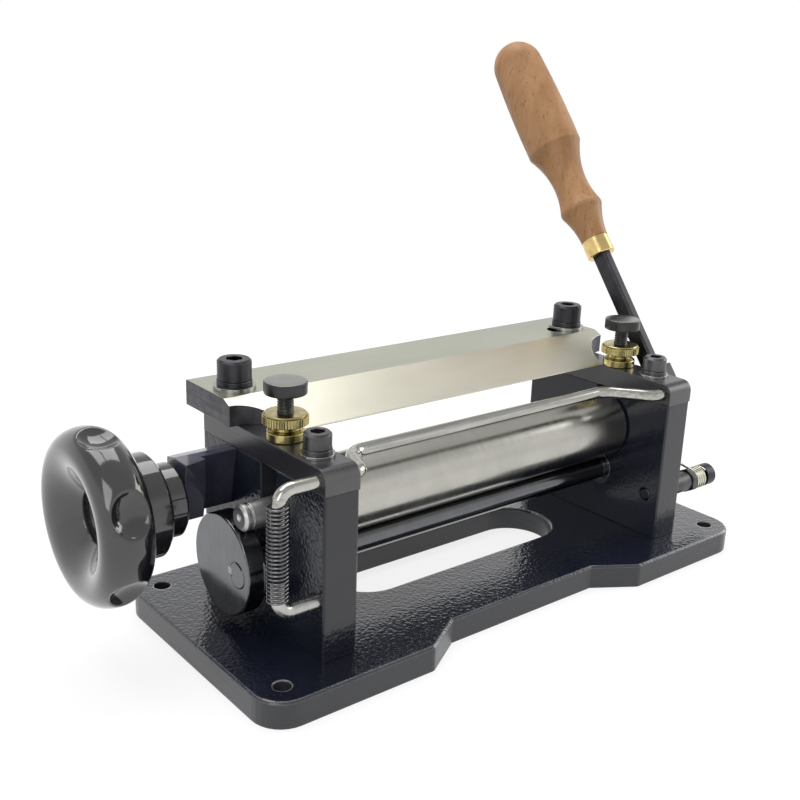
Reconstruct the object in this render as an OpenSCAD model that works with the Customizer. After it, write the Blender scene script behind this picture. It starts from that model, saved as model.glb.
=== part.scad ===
// Bench machine for splitting leather: a steel roller is lifted by two cams
// towards a fixed blade, a hand lever turns the cams, stop screws limit the lift.
// Millimetres. X runs along the roller, the user stands at -Y, Z is up.
// The origin is the middle of the base plate's underside.

/* [Base plate] */
// Length of the base plate outside each upright
base_over = 29.5; // [21.5:0.5:54]
// Depth of the base plate, front to back
base_dep = 108; // [96:1:130]
// Thickness of the base plate
base_th = 10; // [8:0.5:14]
// Corner radius of the base plate
base_corner = 12; // [6:1:16]
// Depth of the recess in the front edge
recess_dep = 11; // [4:0.5:14]
// Width of the recess between the outer ends of its shoulders
recess_outer = 112; // [90:1:130]
// Width of the recess at its floor
recess_inner = 76; // [60:1:86]
// Length of the round-ended window
window_len = 118; // [80:1:124]
// Depth of the window, front to back
window_dep = 33.4; // [20:0.2:36]
// Distance of the window's middle behind the plate's middle
window_shift = 7.5; // [0:0.5:12]
// Diameter of the bench bolt holes
foot_hole_d = 6.6; // [5:0.2:9]
// Distance of the bench bolt holes from the plate's ends
foot_in_x = 11; // [8:0.5:18]
// Distance of the bench bolt holes from the plate's front and back
foot_in_y = 10.5; // [8:0.5:16]

/* [Uprights and caps] */
// Clear distance between the two uprights
bay_len = 164.4; // [130:0.2:200]
// Thickness of an upright along the roller
upright_th = 14.3; // [13:0.1:16]
// Depth of an upright, front to back
upright_dep = 81; // [76:1:88]
// Height of an upright above the base plate
upright_h = 62.3; // [60:0.1:80]
// Thickness of the cap that closes an upright
cap_th = 9; // [8:0.5:12]
// Radius of the cap's upper front edge
cap_round = 4.4; // [1:0.1:4.4]
// Radius of the cap's upper rear edge
cap_rear_round = 1.2; // [0.6:0.1:4]

/* [Roller and cams] */
// Diameter of the roller
roller_d = 30; // [24:0.5:32]
// Diameter of the roller's fixed axle
axle_d = 10; // [8:0.5:10.5]
// Distance of the roller's axis in front of the plate's middle
roller_front = 5.5; // [3:0.5:8]
// Distance of the cam shaft below the uprights' top
shaft_drop = 39.1; // [36.3:0.1:41]
// Diameter of the cam shaft
shaft_d = 10; // [8:0.5:11]
// Diameter of a cam disc
cam_d = 38.6; // [34:0.2:40]
// Distance of a cam disc's centre from its shaft
cam_throw = 11.3; // [9:0.1:12]
// Thickness of a cam disc
cam_th = 7.6; // [6:0.2:9]
// Gap between cam disc and axle at rest
cam_gap = 0.4; // [0.3:0.05:0.6]

/* [Blade] */
// Length of the blade outside the middle of each upright
blade_over = 10.65; // [5.65:0.05:16]
// Thickness of the blade
blade_th = 9.9; // [8:0.1:12]
// Depth of the blade from its cutting edge to its back
blade_dep = 49.3; // [44:0.1:54]
// Distance of the cutting edge behind the roller's axis
edge_back = 4; // [1:0.5:6]
// Angle of the ground bevel
bevel_deg = 25.5; // [20:0.5:32]
// Room between each knurled nut and the blade's round notch
notch_room = 0.4; // [0.3:0.1:2]
// Length of the left slot for the blade's screws
blade_slot = 16; // [10:1:20]
// How much longer the right slot is, towards the middle
slot_more = 3; // [0:0.5:6]

/* [Guard rod] */
// Diameter of the guard rod
rod_d = 5; // [4:0.5:5.5]
// Distance of the rod's hinge line behind the front of the cap
rod_inset = 4.1; // [3.6:0.1:6]
// Distance of the rod's middle run behind its hinge line
rod_reach = 16.5; // [12:0.5:20]
// Distance of the spring's axis outside the left upright
spring_out = 15.7; // [13:0.1:18]
// Height of the lower rod above the base plate
anchor_up = 22.6; // [18:0.2:28]
// Wire diameter of the guard spring
spring_wire = 0.8; // [0.6:0.05:0.8]
// Turns of the guard spring
spring_turns = 28; // [18:1:28]

/* [Lever] */
// Lean of the lever to the back, from upright
lever_lean = 37.5; // [25:0.5:45]
// Distance of the lever bar's axis in front of the cam shaft
lever_offset = 32.4; // [28:0.2:36]
// Depth of the lever bar in its plane of swing
bar_dep = 8; // [7:0.5:10]
// Thickness of the lever bar along the roller
bar_th = 5; // [4:0.5:6]
// Length of the bar from its lower end to the ferrule
bar_len = 74; // [60:1:90]
// Length of the wooden handle
handle_len = 108; // [90:0.5:130]
// Largest diameter of the wooden handle
handle_d = 26.4; // [22:0.2:30]

/* [Handwheel] */
// Diameter of the handwheel
wheel_d = 64; // [54:1:72]
// Thickness of the handwheel's rim
wheel_th = 19; // [16:0.5:22]
// Number of finger hollows round the rim
wheel_hollows = 6; // [4:1:8]
// Distance of the handwheel's axis behind the plate's middle
wheel_back = 19.5; // [18.5:0.5:20]
// Distance of the handwheel's axis below the uprights' top
wheel_drop = 15.3; // [13.3:0.1:16.4]
// Diameter of the clamp screw
screw_d = 8; // [6:0.5:8]

/* [Hidden] */

fine = 64;
soft = 32;
eps = 0.01;
fit_gap = 0.05;          // radial play of a turning fit
slide_gap = 0.15;        // play of the axle in its slot, each side
face_gap = 0.3;          // play between faces that pass each other
edge_c = 0.6;            // broken edge of machined plates
bend_swell = 0.04;       // a bend is this much thicker than its rod
bend_lap = 0.2;          // and the straight runs reach this far into it

// heights and places of the frame
upright_x = bay_len / 2;
upright_out = upright_x + upright_th;
upright_mid = upright_x + upright_th / 2;
upright_y0 = -upright_dep / 2;
cap_z = base_th + upright_h;
blade_z = cap_z + cap_th;
roller_y = -roller_front;
base_len = 2 * (upright_out + base_over);
foot_span_x = base_len - 2 * foot_in_x;
foot_span_y = base_dep - 2 * foot_in_y;
blade_len = 2 * (upright_mid + blade_over);
shaft_z = cap_z - shaft_drop;
wheel_z = cap_z - wheel_drop;
cap_screw_y = upright_y0 + 15;
blade_screw_y = 28.5;

// roller and cams: the axle rests on the cams, whose lobes point to the back
contact_r = cam_d / 2 + axle_d / 2 + cam_gap;
roller_z = shaft_z + sqrt(contact_r * contact_r - cam_throw * cam_throw);
roller_len = bay_len - 4 * face_gap;
cam_hub_r = shaft_d / 2 + 4.3;
cam_hub_len = 5.2;
left_cam_x = -upright_out - face_gap - cam_hub_len;
left_end = left_cam_x - cam_th;
right_cam_x = upright_out + 2 * face_gap;
right_end = right_cam_x + cam_th;
axle_left = left_end + 1;
axle_right = right_end - 0.4;
arm_x0 = right_end + 0.5;
arm_x1 = arm_x0 + 5.2;
boss_wall = 1.2;
bar_mid = arm_x1 - 2 - bar_th / 2;
boss_x0 = bar_mid - bar_th / 2 - boss_wall;
shaft_left = left_end - 0.3;
shaft_right = arm_x1 + 0.3;

// stop screws and their pads, which meet the axle at its highest place
max_turn = 50;
lift = cam_throw * sin(max_turn) - sqrt(contact_r * contact_r - cam_throw * cam_throw)
    + sqrt(contact_r * contact_r - pow(cam_throw * cos(max_turn), 2));
stop_d = 6;
pad_th = 2;
pad_travel = 2.05;
pad_z0 = roller_z + axle_d / 2 + lift + face_gap;
nut_low_r = 7;

// metric screws: [thread, head diameter, head height, socket across flats]
thread_gap = 0.02;       // radial gap of a screw in its tapped hole
m5 = [5, 8.5, 5, 4];
m6 = [6, 10, 6, 5];
m8 = [8, 13, 8, 6];
cap_washer = [12.4, 1.1];
cap_spring_washer = [10.4, 1.6];
blade_washer = [16, 1.5];
blade_spring_washer = [13.4, 2];

// ---------------------------------------------------------------- helpers

// Two mirror-image copies, left and right
module both_sides() {
    children();
    mirror([1, 0, 0]) children();
}

// Round bar along X from x0 to x1
module bar_x(x0, x1, y, z, d) {
    translate([x0, y, z]) rotate([0, 90, 0]) cylinder(h = x1 - x0, d = d, $fn = fine);
}

// Round bar with broken edges, standing on the XY plane
module turned_bar(h, d, c) {
    rotate_extrude($fn = fine)
        polygon([[0, 0], [d / 2 - c, 0], [d / 2, c], [d / 2, h - c], [d / 2 - c, h], [0, h]]);
}

// Ring from z0 to z1
module ring(z0, z1, d_out, d_in) {
    difference() {
        translate([0, 0, z0]) cylinder(h = z1 - z0, d = d_out, $fn = fine);
        translate([0, 0, z0 - 1]) cylinder(h = z1 - z0 + 2, d = d_in, $fn = fine);
    }
}

// Socket head screw, head underside at the origin, shank pointing down
module socket_screw(size, shank) {
    difference() {
        union() {
            rotate_extrude($fn = fine) polygon([[0, 0], [size[1] / 2 - 0.2, 0], [size[1] / 2, 0.2],
                [size[1] / 2, size[2] - 0.8], [size[1] / 2 - 0.8, size[2]], [0, size[2]]]);
            rotate_extrude($fn = fine) polygon([[0, -shank], [size[0] / 2 - 0.8, -shank],
                [size[0] / 2, 0.8 - shank], [size[0] / 2, eps], [0, eps]]);
        }
        translate([0, 0, size[2] * 0.45])
            cylinder(h = size[2], d = size[3] / cos(30), $fn = 6);
    }
}

// Split spring washer standing on the XY plane
module spring_washer(size, bore) {
    difference() {
        ring(0, size[1], size[0], bore);
        rotate([0, 0, 25]) translate([0, -0.4, -1]) rotate([28, 0, 0])
            cube([size[0], 0.8, size[1] + 4]);
    }
}

// Straight round rod between two points
module rod_run(p, q, d) {
    v = q - p;
    len = norm(v);
    translate(p) rotate([0, acos(v[2] / len), atan2(v[1], v[0])])
        cylinder(h = len, d = d, $fn = soft);
}

// Bend of a round rod at corner p, between points a and b
module rod_bend(a, p, b, bend_r, d) {
    u = (p - a) / norm(p - a);
    w = (b - p) / norm(b - p);
    turn = acos(u * w);
    side = (w - u * (u * w)) / norm(w - u * (u * w));
    up = cross(-side, u);
    c = p - u * bend_r * tan(turn / 2) + side * bend_r;
    multmatrix([[-side[0], u[0], up[0], c[0]], [-side[1], u[1], up[1], c[1]],
        [-side[2], u[2], up[2], c[2]], [0, 0, 0, 1]])
        rotate_extrude(angle = turn, $fn = fine)
        translate([bend_r, 0]) circle(d = d + bend_swell, $fn = soft);
}

// Length that a bend takes from each of its two runs
function bend_take(a, p, b, r) =
    r * tan(acos(((p - a) * (b - p)) / (norm(p - a) * norm(b - p))) / 2);

// Round rod through all points of a route, with a bend radius for each inner point
module bent_rod(route, bends, d) {
    last = len(route) - 1;
    for (i = [0 : last - 1]) {
        a = route[i];
        b = route[i + 1];
        dir = (b - a) / norm(b - a);
        cut_a = i == 0 ? 0 : bend_take(route[i - 1], a, b, bends[i - 1]) - bend_lap;
        cut_b = i == last - 1 ? 0 : bend_take(a, b, route[i + 2], bends[i]) - bend_lap;
        rod_run(a + dir * cut_a, b - dir * cut_b, d);
    }
    for (i = [1 : last - 1]) rod_bend(route[i - 1], route[i], route[i + 1], bends[i - 1], d);
}

// Outline of a link with round ends, from p with radius r1 to q with radius r2
module link_outline(p, q, r1, r2) {
    v = q - p;
    base = atan2(v[1], v[0]);
    lean = acos((r1 - r2) / norm(v));
    translate(p) circle(r = r1, $fn = fine);
    translate(q) circle(r = r2, $fn = fine);
    polygon([for (s = [1, -1]) for (k = [0, 1])
        let (c = (k == 0) == (s == 1) ? p : q, r = (k == 0) == (s == 1) ? r1 : r2)
        c + (r - 0.03) * [cos(base + s * lean), sin(base + s * lean)]]);
}

// Tube swept along points; ref is never parallel to the path
module swept_tube(path, wire, ref, sides = 6) {
    n = len(path);
    tangent = [for (i = [0 : n - 1])
        let (v = path[min(i + 1, n - 1)] - path[max(i - 1, 0)]) v / norm(v)];
    points = [for (i = [0 : n - 1])
        let (s = cross(tangent[i], ref), u = s / norm(s), w = cross(tangent[i], u))
        for (k = [0 : sides - 1])
        path[i] + wire / 2 * (cos(360 * k / sides) * u + sin(360 * k / sides) * w)];
    walls = [for (i = [0 : n - 2]) for (k = [0 : sides - 1])
        let (a = i * sides + k, b = i * sides + (k + 1) % sides)
        for (t = [[a, a + sides, b], [b, a + sides, b + sides]]) t];
    start = [for (k = [1 : sides - 2]) [0, k, k + 1]];
    end = [for (k = [1 : sides - 2]) [0, k + 1, k] + (n - 1) * sides * [1, 1, 1]];
    polyhedron(points, concat(start, walls, end));
}

// Least gap between the turns of a coil, measured on the points of its path
function self_gap(path, wire, skip) = min([for (i = [0 : len(path) - 1])
    for (j = [i + skip : 1 : min(i + 2 * skip, len(path) - 1)]) norm(path[i] - path[j])]) - wire;

// ---------------------------------------------------------------- base plate

// Post with a broken upper edge, one corner of the plate
module plate_corner(x, y, r) {
    c = 0.8;
    translate([x, y, 0]) {
        cylinder(h = base_th - c, r = r, $fn = soft);
        translate([0, 0, base_th - c - eps]) cylinder(h = c + eps, r1 = r, r2 = r - c, $fn = soft);
    }
}

// Plate between posts: one end of the base, with the recess's shoulder
module plate_end() {
    x = base_len / 2 - base_corner;
    y = base_dep / 2 - base_corner;
    r = 3;
    hull() {
        plate_corner(x, y, base_corner);
        plate_corner(x, -y, base_corner);
        plate_corner(recess_outer / 2 + r / 2, -base_dep / 2 + r, r);
        plate_corner(recess_inner / 2 + r / 2, -base_dep / 2 + recess_dep + r, r);
        plate_corner(recess_inner / 2, base_dep / 2 - r, r);
    }
}

module window_cut(grow, z0, z1) {
    r = window_dep / 2 + grow;
    span = window_len - window_dep;
    translate([0, window_shift, z0]) {
        translate([-span / 2, -r, 0]) cube([span, 2 * r, z1 - z0]);
        for (s = [-1, 1]) translate([s * span / 2, 0, 0]) cylinder(h = z1 - z0, r = r, $fn = fine);
    }
}

// Sloped upper edge of the window
module window_edge() {
    c = 0.8;
    r = window_dep / 2;
    span = window_len - window_dep;
    translate([0, window_shift, base_th - c]) {
        for (s = [-1, 1]) translate([s * span / 2, 0, 0])
            cylinder(h = c + eps, r1 = r, r2 = r + c, $fn = fine);
        translate([-span / 2, 0, 0]) rotate([90, 0, 90]) linear_extrude(span)
            polygon([[-r, 0], [r, 0], [r + c, c + eps], [-r - c, c + eps]]);
    }
}

module foot_places() {
    for (x = [-1, 1]) for (y = [-1, 1])
        translate([x * foot_span_x / 2, y * foot_span_y / 2, 0]) children();
}

// Two screws from below hold each upright
module upright_screw_places() {
    for (x = [-1, 1]) for (y = [-28, 28]) translate([x * upright_mid, y, 0]) children();
}

module base_plate() {
    color([0.07, 0.07, 0.09]) difference() {
        union() {
            both_sides() plate_end();
            hull() for (x = [-1, 1]) {
                plate_corner(x * recess_inner / 2, -base_dep / 2 + recess_dep + 3, 3);
                plate_corner(x * recess_inner / 2, base_dep / 2 - 3, 3);
            }
        }
        window_cut(0, -1, base_th + 1);
        window_edge();
        foot_places() translate([0, 0, -1]) cylinder(h = base_th + 2, d = foot_hole_d, $fn = fine);
        upright_screw_places() {
            translate([0, 0, -1]) cylinder(h = base_th + 2, d = m6[0] + 0.6, $fn = fine);
            translate([0, 0, -1]) cylinder(h = m6[2] + 1.5, d = m6[1] + 0.8, $fn = fine);
        }
    }
}

module upright_screws() {
    color([0.12, 0.12, 0.13]) upright_screw_places()
        translate([0, 0, m6[2] + 0.5]) mirror([0, 0, 1]) socket_screw(m6, 16);
}

// ---------------------------------------------------------------- uprights and caps

// Plate along X with a profile in Y and Z
module plate_x(x0, x1) {
    translate([x0, 0, 0]) rotate([90, 0, 90]) linear_extrude(x1 - x0) children();
}

// Outline of an upright: open slot for the axle, round at its foot
module upright_outline() {
    slot = axle_d + 2 * slide_gap;
    slot_z = roller_z - slide_gap;
    difference() {
        translate([upright_y0, base_th]) square([upright_dep, upright_h]);
        translate([roller_y, slot_z]) circle(d = slot, $fn = fine);
        translate([roller_y - slot / 2, slot_z]) square([slot, cap_z - slot_z + 1]);
    }
}

module upright(side) {
    difference() {
        plate_x(side > 0 ? upright_x : -upright_out, side > 0 ? upright_out : -upright_x)
            upright_outline();
        bar_x(-upright_out - 1, upright_out + 1, roller_y, shaft_z, bush_d);
        for (y = [-28, 28]) translate([side * upright_mid, y, base_th - 1])
            cylinder(h = 15, d = m6[0] + 2 * thread_gap, $fn = fine);
        translate([side * cap_screw_x, cap_screw_y, cap_z - 15])
            cylinder(h = 16, d = m6[0] + 2 * thread_gap, $fn = fine);
        translate([side * blade_screw_x, blade_screw_y, cap_z - blade_thread - 0.5])
            cylinder(h = blade_thread + 2, d = m8[0] + 2 * thread_gap, $fn = fine);
        for (f = [0, 1]) upright_edge(side, f);
        if (side < 0) {
            bar_x(-upright_out - 1, -upright_out + 9, rod_y, anchor_z, rod_d + 2 * thread_gap);
            bracket_screw_places() {
                cylinder(h = upright_th + 2, d = m5[0] + 0.5, $fn = fine);
                cylinder(h = m5[2] + 0.5, d = m5[1] + 0.6, $fn = fine);
            }
        } else {
            bar_x(upright_x - 1, upright_out + 1, post_y, post_z, post_size[0] + 2 * thread_gap);
        }
    }
}

// Broken front edge of an upright, f = 0 inside, 1 outside
module upright_edge(side, f) {
    x = side * (f == 0 ? upright_x : upright_out);
    translate([x, upright_y0, base_th - 1]) rotate([0, 0, 45])
        translate([-edge_c, -edge_c, 0] * 0.7071) cube([edge_c, edge_c, upright_h + 2] * 1.4142);
}

module left_upright() { color([0.1, 0.1, 0.12]) upright(-1); }
module right_upright() { color([0.1, 0.1, 0.12]) upright(1); }

cap_screw_x = upright_mid;
blade_screw_x = upright_mid + 0.6;
blade_thread = 9.5;
pad_d = axle_d - 0.4;
bush_d = shaft_d + 4;
rod_y = upright_y0 + rod_inset;
rod_z = cap_z + cap_th / 2;
anchor_z = base_th + anchor_up;

module stop_places(side) {
    translate([side * upright_mid, roller_y, 0]) children();
}

// Cap: round front edge along the guard rod, holes for the rod and the screws
module cap(side) {
    y0 = upright_y0 - 0.2;
    y1 = -upright_y0 + 0.2;
    r0 = cap_round;
    r1 = cap_rear_round;
    difference() {
        plate_x(side > 0 ? upright_x : -upright_out, side > 0 ? upright_out : -upright_x) {
            translate([y0, cap_z]) square([y1 - y0, cap_th - r0]);
            translate([y0 + r0, cap_z]) square([y1 - y0 - r0, cap_th - r1]);
            translate([y0 + r0, cap_z]) square([y1 - y0 - r0 - r1, cap_th]);
            translate([y0 + r0, blade_z - r0]) circle(r = r0, $fn = fine);
            translate([y1 - r1, blade_z - r1]) circle(r = r1, $fn = fine);
        }
        bar_x(-upright_out - 1, upright_out + 1, rod_y, rod_z, rod_d + 2 * fit_gap);
        translate([side * cap_screw_x, cap_screw_y, cap_z - 1])
            cylinder(h = cap_th + 2, d = m6[0] + 0.4, $fn = fine);
        translate([side * blade_screw_x, blade_screw_y, cap_z - 1])
            cylinder(h = cap_th + 2, d = m8[0] + 0.4, $fn = fine);
        stop_places(side) {
            translate([0, 0, cap_z - 1]) cylinder(h = cap_th + 2, d = stop_d + 2 * fit_gap, $fn = fine);
            translate([0, 0, cap_z - 1]) cylinder(h = pad_z0 + pad_th + pad_travel + face_gap - cap_z + 1,
                d = pad_d + 2 * slide_gap, $fn = fine);
        }
    }
}

module left_cap() { color([0.13, 0.13, 0.14]) cap(-1); }
module right_cap() { color([0.13, 0.13, 0.14]) cap(1); }

// Screws that hold the caps, with their washers
module cap_screw_places(z) {
    for (s = [-1, 1]) translate([s * cap_screw_x, cap_screw_y, blade_z + z]) children();
}

module cap_washers() {
    color("silver") cap_screw_places(0) ring(0, cap_washer[1], cap_washer[0], m6[0] + 0.4);
}

module cap_spring_washers() {
    color([0.35, 0.35, 0.36]) cap_screw_places(cap_washer[1])
        spring_washer(cap_spring_washer, m6[0] + 0.3);
}

module cap_screws() {
    color([0.12, 0.12, 0.13]) cap_screw_places(cap_washer[1] + cap_spring_washer[1])
        socket_screw(m6, 24);
}

// ---------------------------------------------------------------- blade

blade_y0 = roller_y + edge_back;
blade_y1 = blade_y0 + blade_dep;
bevel_run = blade_th / tan(bevel_deg);
// the notch is a quarter circle round the blade's front corner, clear of the nut
notch_r = blade_len / 2 - upright_mid + sqrt(nut_low_r * nut_low_r - edge_back * edge_back) + notch_room;

module blade_screw_places(z) {
    for (s = [-1, 1]) translate([s * blade_screw_x, blade_screw_y, z]) children();
}

module splitting_blade() {
    color([0.8, 0.8, 0.78]) difference() {
        plate_x(-blade_len / 2, blade_len / 2) polygon([[blade_y0, blade_z],
            [blade_y0 + bevel_run, blade_z + blade_th], [blade_y1 - 0.5, blade_z + blade_th],
            [blade_y1, blade_z + blade_th - 0.5], [blade_y1, blade_z]]);
        for (s = [-1, 1]) translate([s * blade_len / 2, blade_y0, blade_z - 1])
            cylinder(h = blade_th + 2, r = notch_r, $fn = 96);
        for (s = [-1, 1]) translate([s * blade_screw_x, blade_screw_y, blade_z - 1]) {
            d = m8[0] + 0.6;
            x1 = (blade_slot - d) / 2;
            x0 = -x1 - (s > 0 ? slot_more : 0);
            for (x = [x0, x1]) translate([x, 0, 0]) cylinder(h = blade_th + 2, d = d, $fn = fine);
            translate([x0, -d / 2, 0]) cube([x1 - x0, d, blade_th + 2]);
        }
    }
}

module blade_washers() {
    color("silver") blade_screw_places(blade_z + blade_th)
        ring(0, blade_washer[1], blade_washer[0], m8[0] + 0.4);
}

module blade_spring_washers() {
    color([0.35, 0.35, 0.36]) blade_screw_places(blade_z + blade_th + blade_washer[1])
        spring_washer(blade_spring_washer, m8[0] + 0.3);
}

module blade_screws() {
    stack = blade_th + blade_washer[1] + blade_spring_washer[1];
    color([0.12, 0.12, 0.13]) blade_screw_places(blade_z + stack)
        socket_screw(m8, stack + cap_th + blade_thread);
}

// ---------------------------------------------------------------- roller

bearing_d = 19;
bearing_w = 5;
ball_d = 3;
ball_ring = (axle_d + bearing_d) / 4;
race_wall = 1.1;

module bearing_places() {
    both_sides() translate([roller_len / 2 - bearing_w - 0.5, roller_y, roller_z])
        rotate([0, 90, 0]) children();
}

module roller_tube() {
    color([0.85, 0.85, 0.86]) translate([-roller_len / 2, roller_y, roller_z]) rotate([0, 90, 0])
        difference() {
            turned_bar(roller_len, roller_d, 0.5);
            translate([0, 0, -1]) cylinder(h = roller_len + 2, d = axle_d + 3, $fn = fine);
            for (z = [-1, roller_len - bearing_w - 0.5])
                translate([0, 0, z]) cylinder(h = bearing_w + 1.5, d = bearing_d, $fn = fine);
        }
}

// Bearing ring between two radii, with a groove for the balls at radius groove
module race(r_in, r_out) {
    rotate_extrude($fn = fine) difference() {
        translate([r_in, 0]) square([r_out - r_in, bearing_w]);
        translate([ball_ring, bearing_w / 2]) circle(d = ball_d + 0.1, $fn = soft);
    }
}

module bearing_outer_rings() {
    color([0.7, 0.7, 0.72]) bearing_places() race(bearing_d / 2 - race_wall, bearing_d / 2);
}

module bearing_inner_rings() {
    color([0.7, 0.7, 0.72]) bearing_places() race(axle_d / 2, axle_d / 2 + race_wall);
}

module bearing_balls() {
    color([0.8, 0.8, 0.82]) bearing_places() for (i = [0 : 7])
        rotate([0, 0, 45 * i]) translate([ball_ring, 0, bearing_w / 2]) sphere(d = ball_d, $fn = soft);
}

// Fixed axle: turning centres, broken ends and a ring groove near each end
module roller_axle() {
    r = axle_d / 2;
    h = axle_right - axle_left;
    color([0.78, 0.78, 0.76]) translate([axle_left, roller_y, roller_z]) rotate([0, 90, 0])
        rotate_extrude($fn = fine) polygon([[0, 1.6], [1, 0.9], [1, 0.6], [1.6, 0], [r - 1, 0], [r, 1],
            [r, 2.4], [r - 0.5, 2.4], [r - 0.5, 3.5], [r, 3.5], [r, h - 3.5], [r - 0.5, h - 3.5],
            [r - 0.5, h - 2.4], [r, h - 2.4], [r, h - 1], [r - 1, h], [1.6, h], [1, h - 0.6],
            [1, h - 0.9], [0, h - 1.6]]);
}

// ---------------------------------------------------------------- cams and lever

key_w = 3.2;
key_h = 3.2;
key_z = shaft_d / 2 - key_h / 2;

// Key at the back of the shaft between x0 and x1
module shaft_key(x0, x1, grow) {
    translate([x0, roller_y + key_z - grow, shaft_z - key_w / 2 - grow])
        cube([x1 - x0, key_h + 2 * grow, key_w + 2 * grow]);
}

module cam_shaft() {
    color([0.3, 0.3, 0.31]) difference() {
        translate([shaft_left, roller_y, shaft_z]) rotate([0, 90, 0])
            turned_bar(shaft_right - shaft_left, shaft_d, 0.4);
        shaft_key(shaft_left - 1, left_cam_x + 1, 0);
        shaft_key(right_cam_x - 0.2, shaft_right + 1, 0);
    }
}

// Plain bushes for the shaft, pressed into the uprights
module shaft_bushes() {
    color([0.3, 0.3, 0.31]) both_sides()
        translate([upright_x, roller_y, shaft_z]) rotate([0, 90, 0])
            ring(0, upright_th, bush_d, shaft_d + 2 * fit_gap);
}

// Eccentric disc between x0 and x1
module cam_disc(x0, x1) {
    translate([x0, roller_y + cam_throw, shaft_z]) rotate([0, 90, 0])
        turned_bar(x1 - x0, cam_d, 0.4);
}

// The left cam shows: its hub carries a set screw
module left_cam() {
    color([0.22, 0.22, 0.23]) difference() {
        union() {
            cam_disc(left_end, left_cam_x);
            bar_x(left_cam_x - 1, left_cam_x + cam_hub_len, roller_y, shaft_z, 2 * cam_hub_r);
        }
        bar_x(left_end - 1, left_cam_x + cam_hub_len + 1, roller_y, shaft_z, shaft_d + 2 * thread_gap);
        shaft_key(left_end - 1, left_cam_x + 1, thread_gap);
        set_screw_place() cylinder(h = cam_hub_r + 2, d = set_screw_d + 2 * thread_gap, $fn = fine);
    }
}

module right_cam() {
    color([0.22, 0.22, 0.23]) difference() {
        cam_disc(right_cam_x, right_end);
        bar_x(right_cam_x - 1, right_end + 1, roller_y, shaft_z, shaft_d + 2 * thread_gap);
        shaft_key(right_cam_x - 1, right_end + 1, thread_gap);
    }
}

set_screw_d = 4;

// Radial place of the set screw in the cam's hub, pointing outwards
module set_screw_place() {
    translate([left_cam_x + cam_hub_len / 2, roller_y, shaft_z]) rotate([-150, 0, 0]) children();
}

module cam_keys() {
    color([0.4, 0.4, 0.41]) {
        shaft_key(left_end, left_cam_x + 1, 0);
        shaft_key(right_cam_x - 0.2, arm_x1, 0);
    }
}

module cam_set_screw() {
    h = cam_hub_r - shaft_d / 2 + 0.3;
    color([0.5, 0.5, 0.52]) set_screw_place() translate([0, 0, shaft_d / 2 + thread_gap]) difference() {
        cylinder(h = h, d = set_screw_d, $fn = fine);
        translate([0, 0, h - 1.8]) cylinder(h = 3, d = 2 / cos(30), $fn = 6);
    }
}

// Frame of the lever: origin on the shaft, Y to the back and Z along the lever
module lever_frame() {
    translate([0, roller_y, shaft_z]) rotate([-lever_lean, 0, 0]) children();
}

bar_foot = 17;
arm_top = 26;
boss_r = bar_dep / 2 + 3.4;
ferrule_z = bar_foot + bar_len;
screw_head = [7.5, 2.4];

// Arm from the shaft to the foot of the bar, with a socket for the bar
module lever_arm() {
    hub_r = 11;
    foot = [-lever_offset, arm_top - 5];
    color([0.13, 0.13, 0.14]) lever_frame() difference() {
        union() {
            plate_x(arm_x0, arm_x1) link_outline([0, 0], foot, hub_r, boss_r);
            plate_x(boss_x0, arm_x1) {
                translate(foot) circle(r = boss_r, $fn = fine);
                translate([foot[0] - boss_r, foot[1]]) square([2 * boss_r, boss_r + 3]);
            }
        }
        bar_x(boss_x0 - 1, arm_x1 + 1, 0, 0, shaft_d + 2 * thread_gap);
        translate([bar_mid - bar_th / 2 - fit_gap, -lever_offset - bar_dep / 2 - fit_gap, bar_foot])
            cube([bar_th + 2 * fit_gap, bar_dep + 2 * fit_gap, 60]);
        bar_x(bar_mid, arm_x1 + 1, -lever_offset, arm_top, screw_hole_d);
        bar_x(arm_x1 - 3, arm_x1 + 1, pin_at[0], pin_at[1], pin_d);
        rotate([lever_lean, 0, 0]) translate([0, -roller_y, -shaft_z])
            shaft_key(arm_x0 - 1, arm_x1 + 1, thread_gap);
    }
}

screw_hole_d = 4;
pin_d = 3;
pin_at = [-11, -1];

// Pin on the arm for the long leg of the torsion spring
module arm_spring_pin() {
    color([0.35, 0.35, 0.36]) lever_frame() translate([arm_x1 - 3, pin_at[0], pin_at[1]])
        rotate([0, 90, 0]) turned_bar(9.6, pin_d, 0.3);
}

// Screw that holds the bar in the arm's socket
module lever_arm_screw() {
    color([0.3, 0.3, 0.31]) lever_frame() difference() {
        union() {
            bar_x(bar_mid + bar_th / 2 + fit_gap, arm_x1 + 1, -lever_offset, arm_top, screw_hole_d);
            translate([arm_x1, -lever_offset, arm_top]) rotate([0, 90, 0])
                turned_bar(screw_head[1], screw_head[0], 0.4);
        }
        translate([arm_x1 + 0.9, -lever_offset, arm_top]) rotate([0, 90, 0])
            cylinder(h = 3, d = 3 / cos(30), $fn = 6);
    }
}

// Flat bar with broken long edges; its tang goes into the handle
module lever_bar() {
    c = 0.8;
    x = bar_th / 2;
    y = bar_dep / 2;
    color([0.2, 0.2, 0.21]) lever_frame() translate([bar_mid, -lever_offset, 0]) {
        translate([0, 0, bar_foot]) linear_extrude(bar_len) polygon([[-x, -y + c], [-x + c, -y],
            [x - c, -y], [x, -y + c], [x, y - c], [x - c, y], [-x + c, y], [-x, y - c]]);
        translate([0, 0, ferrule_z - eps]) cylinder(h = 40, d = bar_th, $fn = fine);
    }
}

ferrule_len = 8.5;
ferrule_d = 13;

module handle_axis() {
    lever_frame() translate([bar_mid, -lever_offset, ferrule_z]) children();
}

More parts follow.
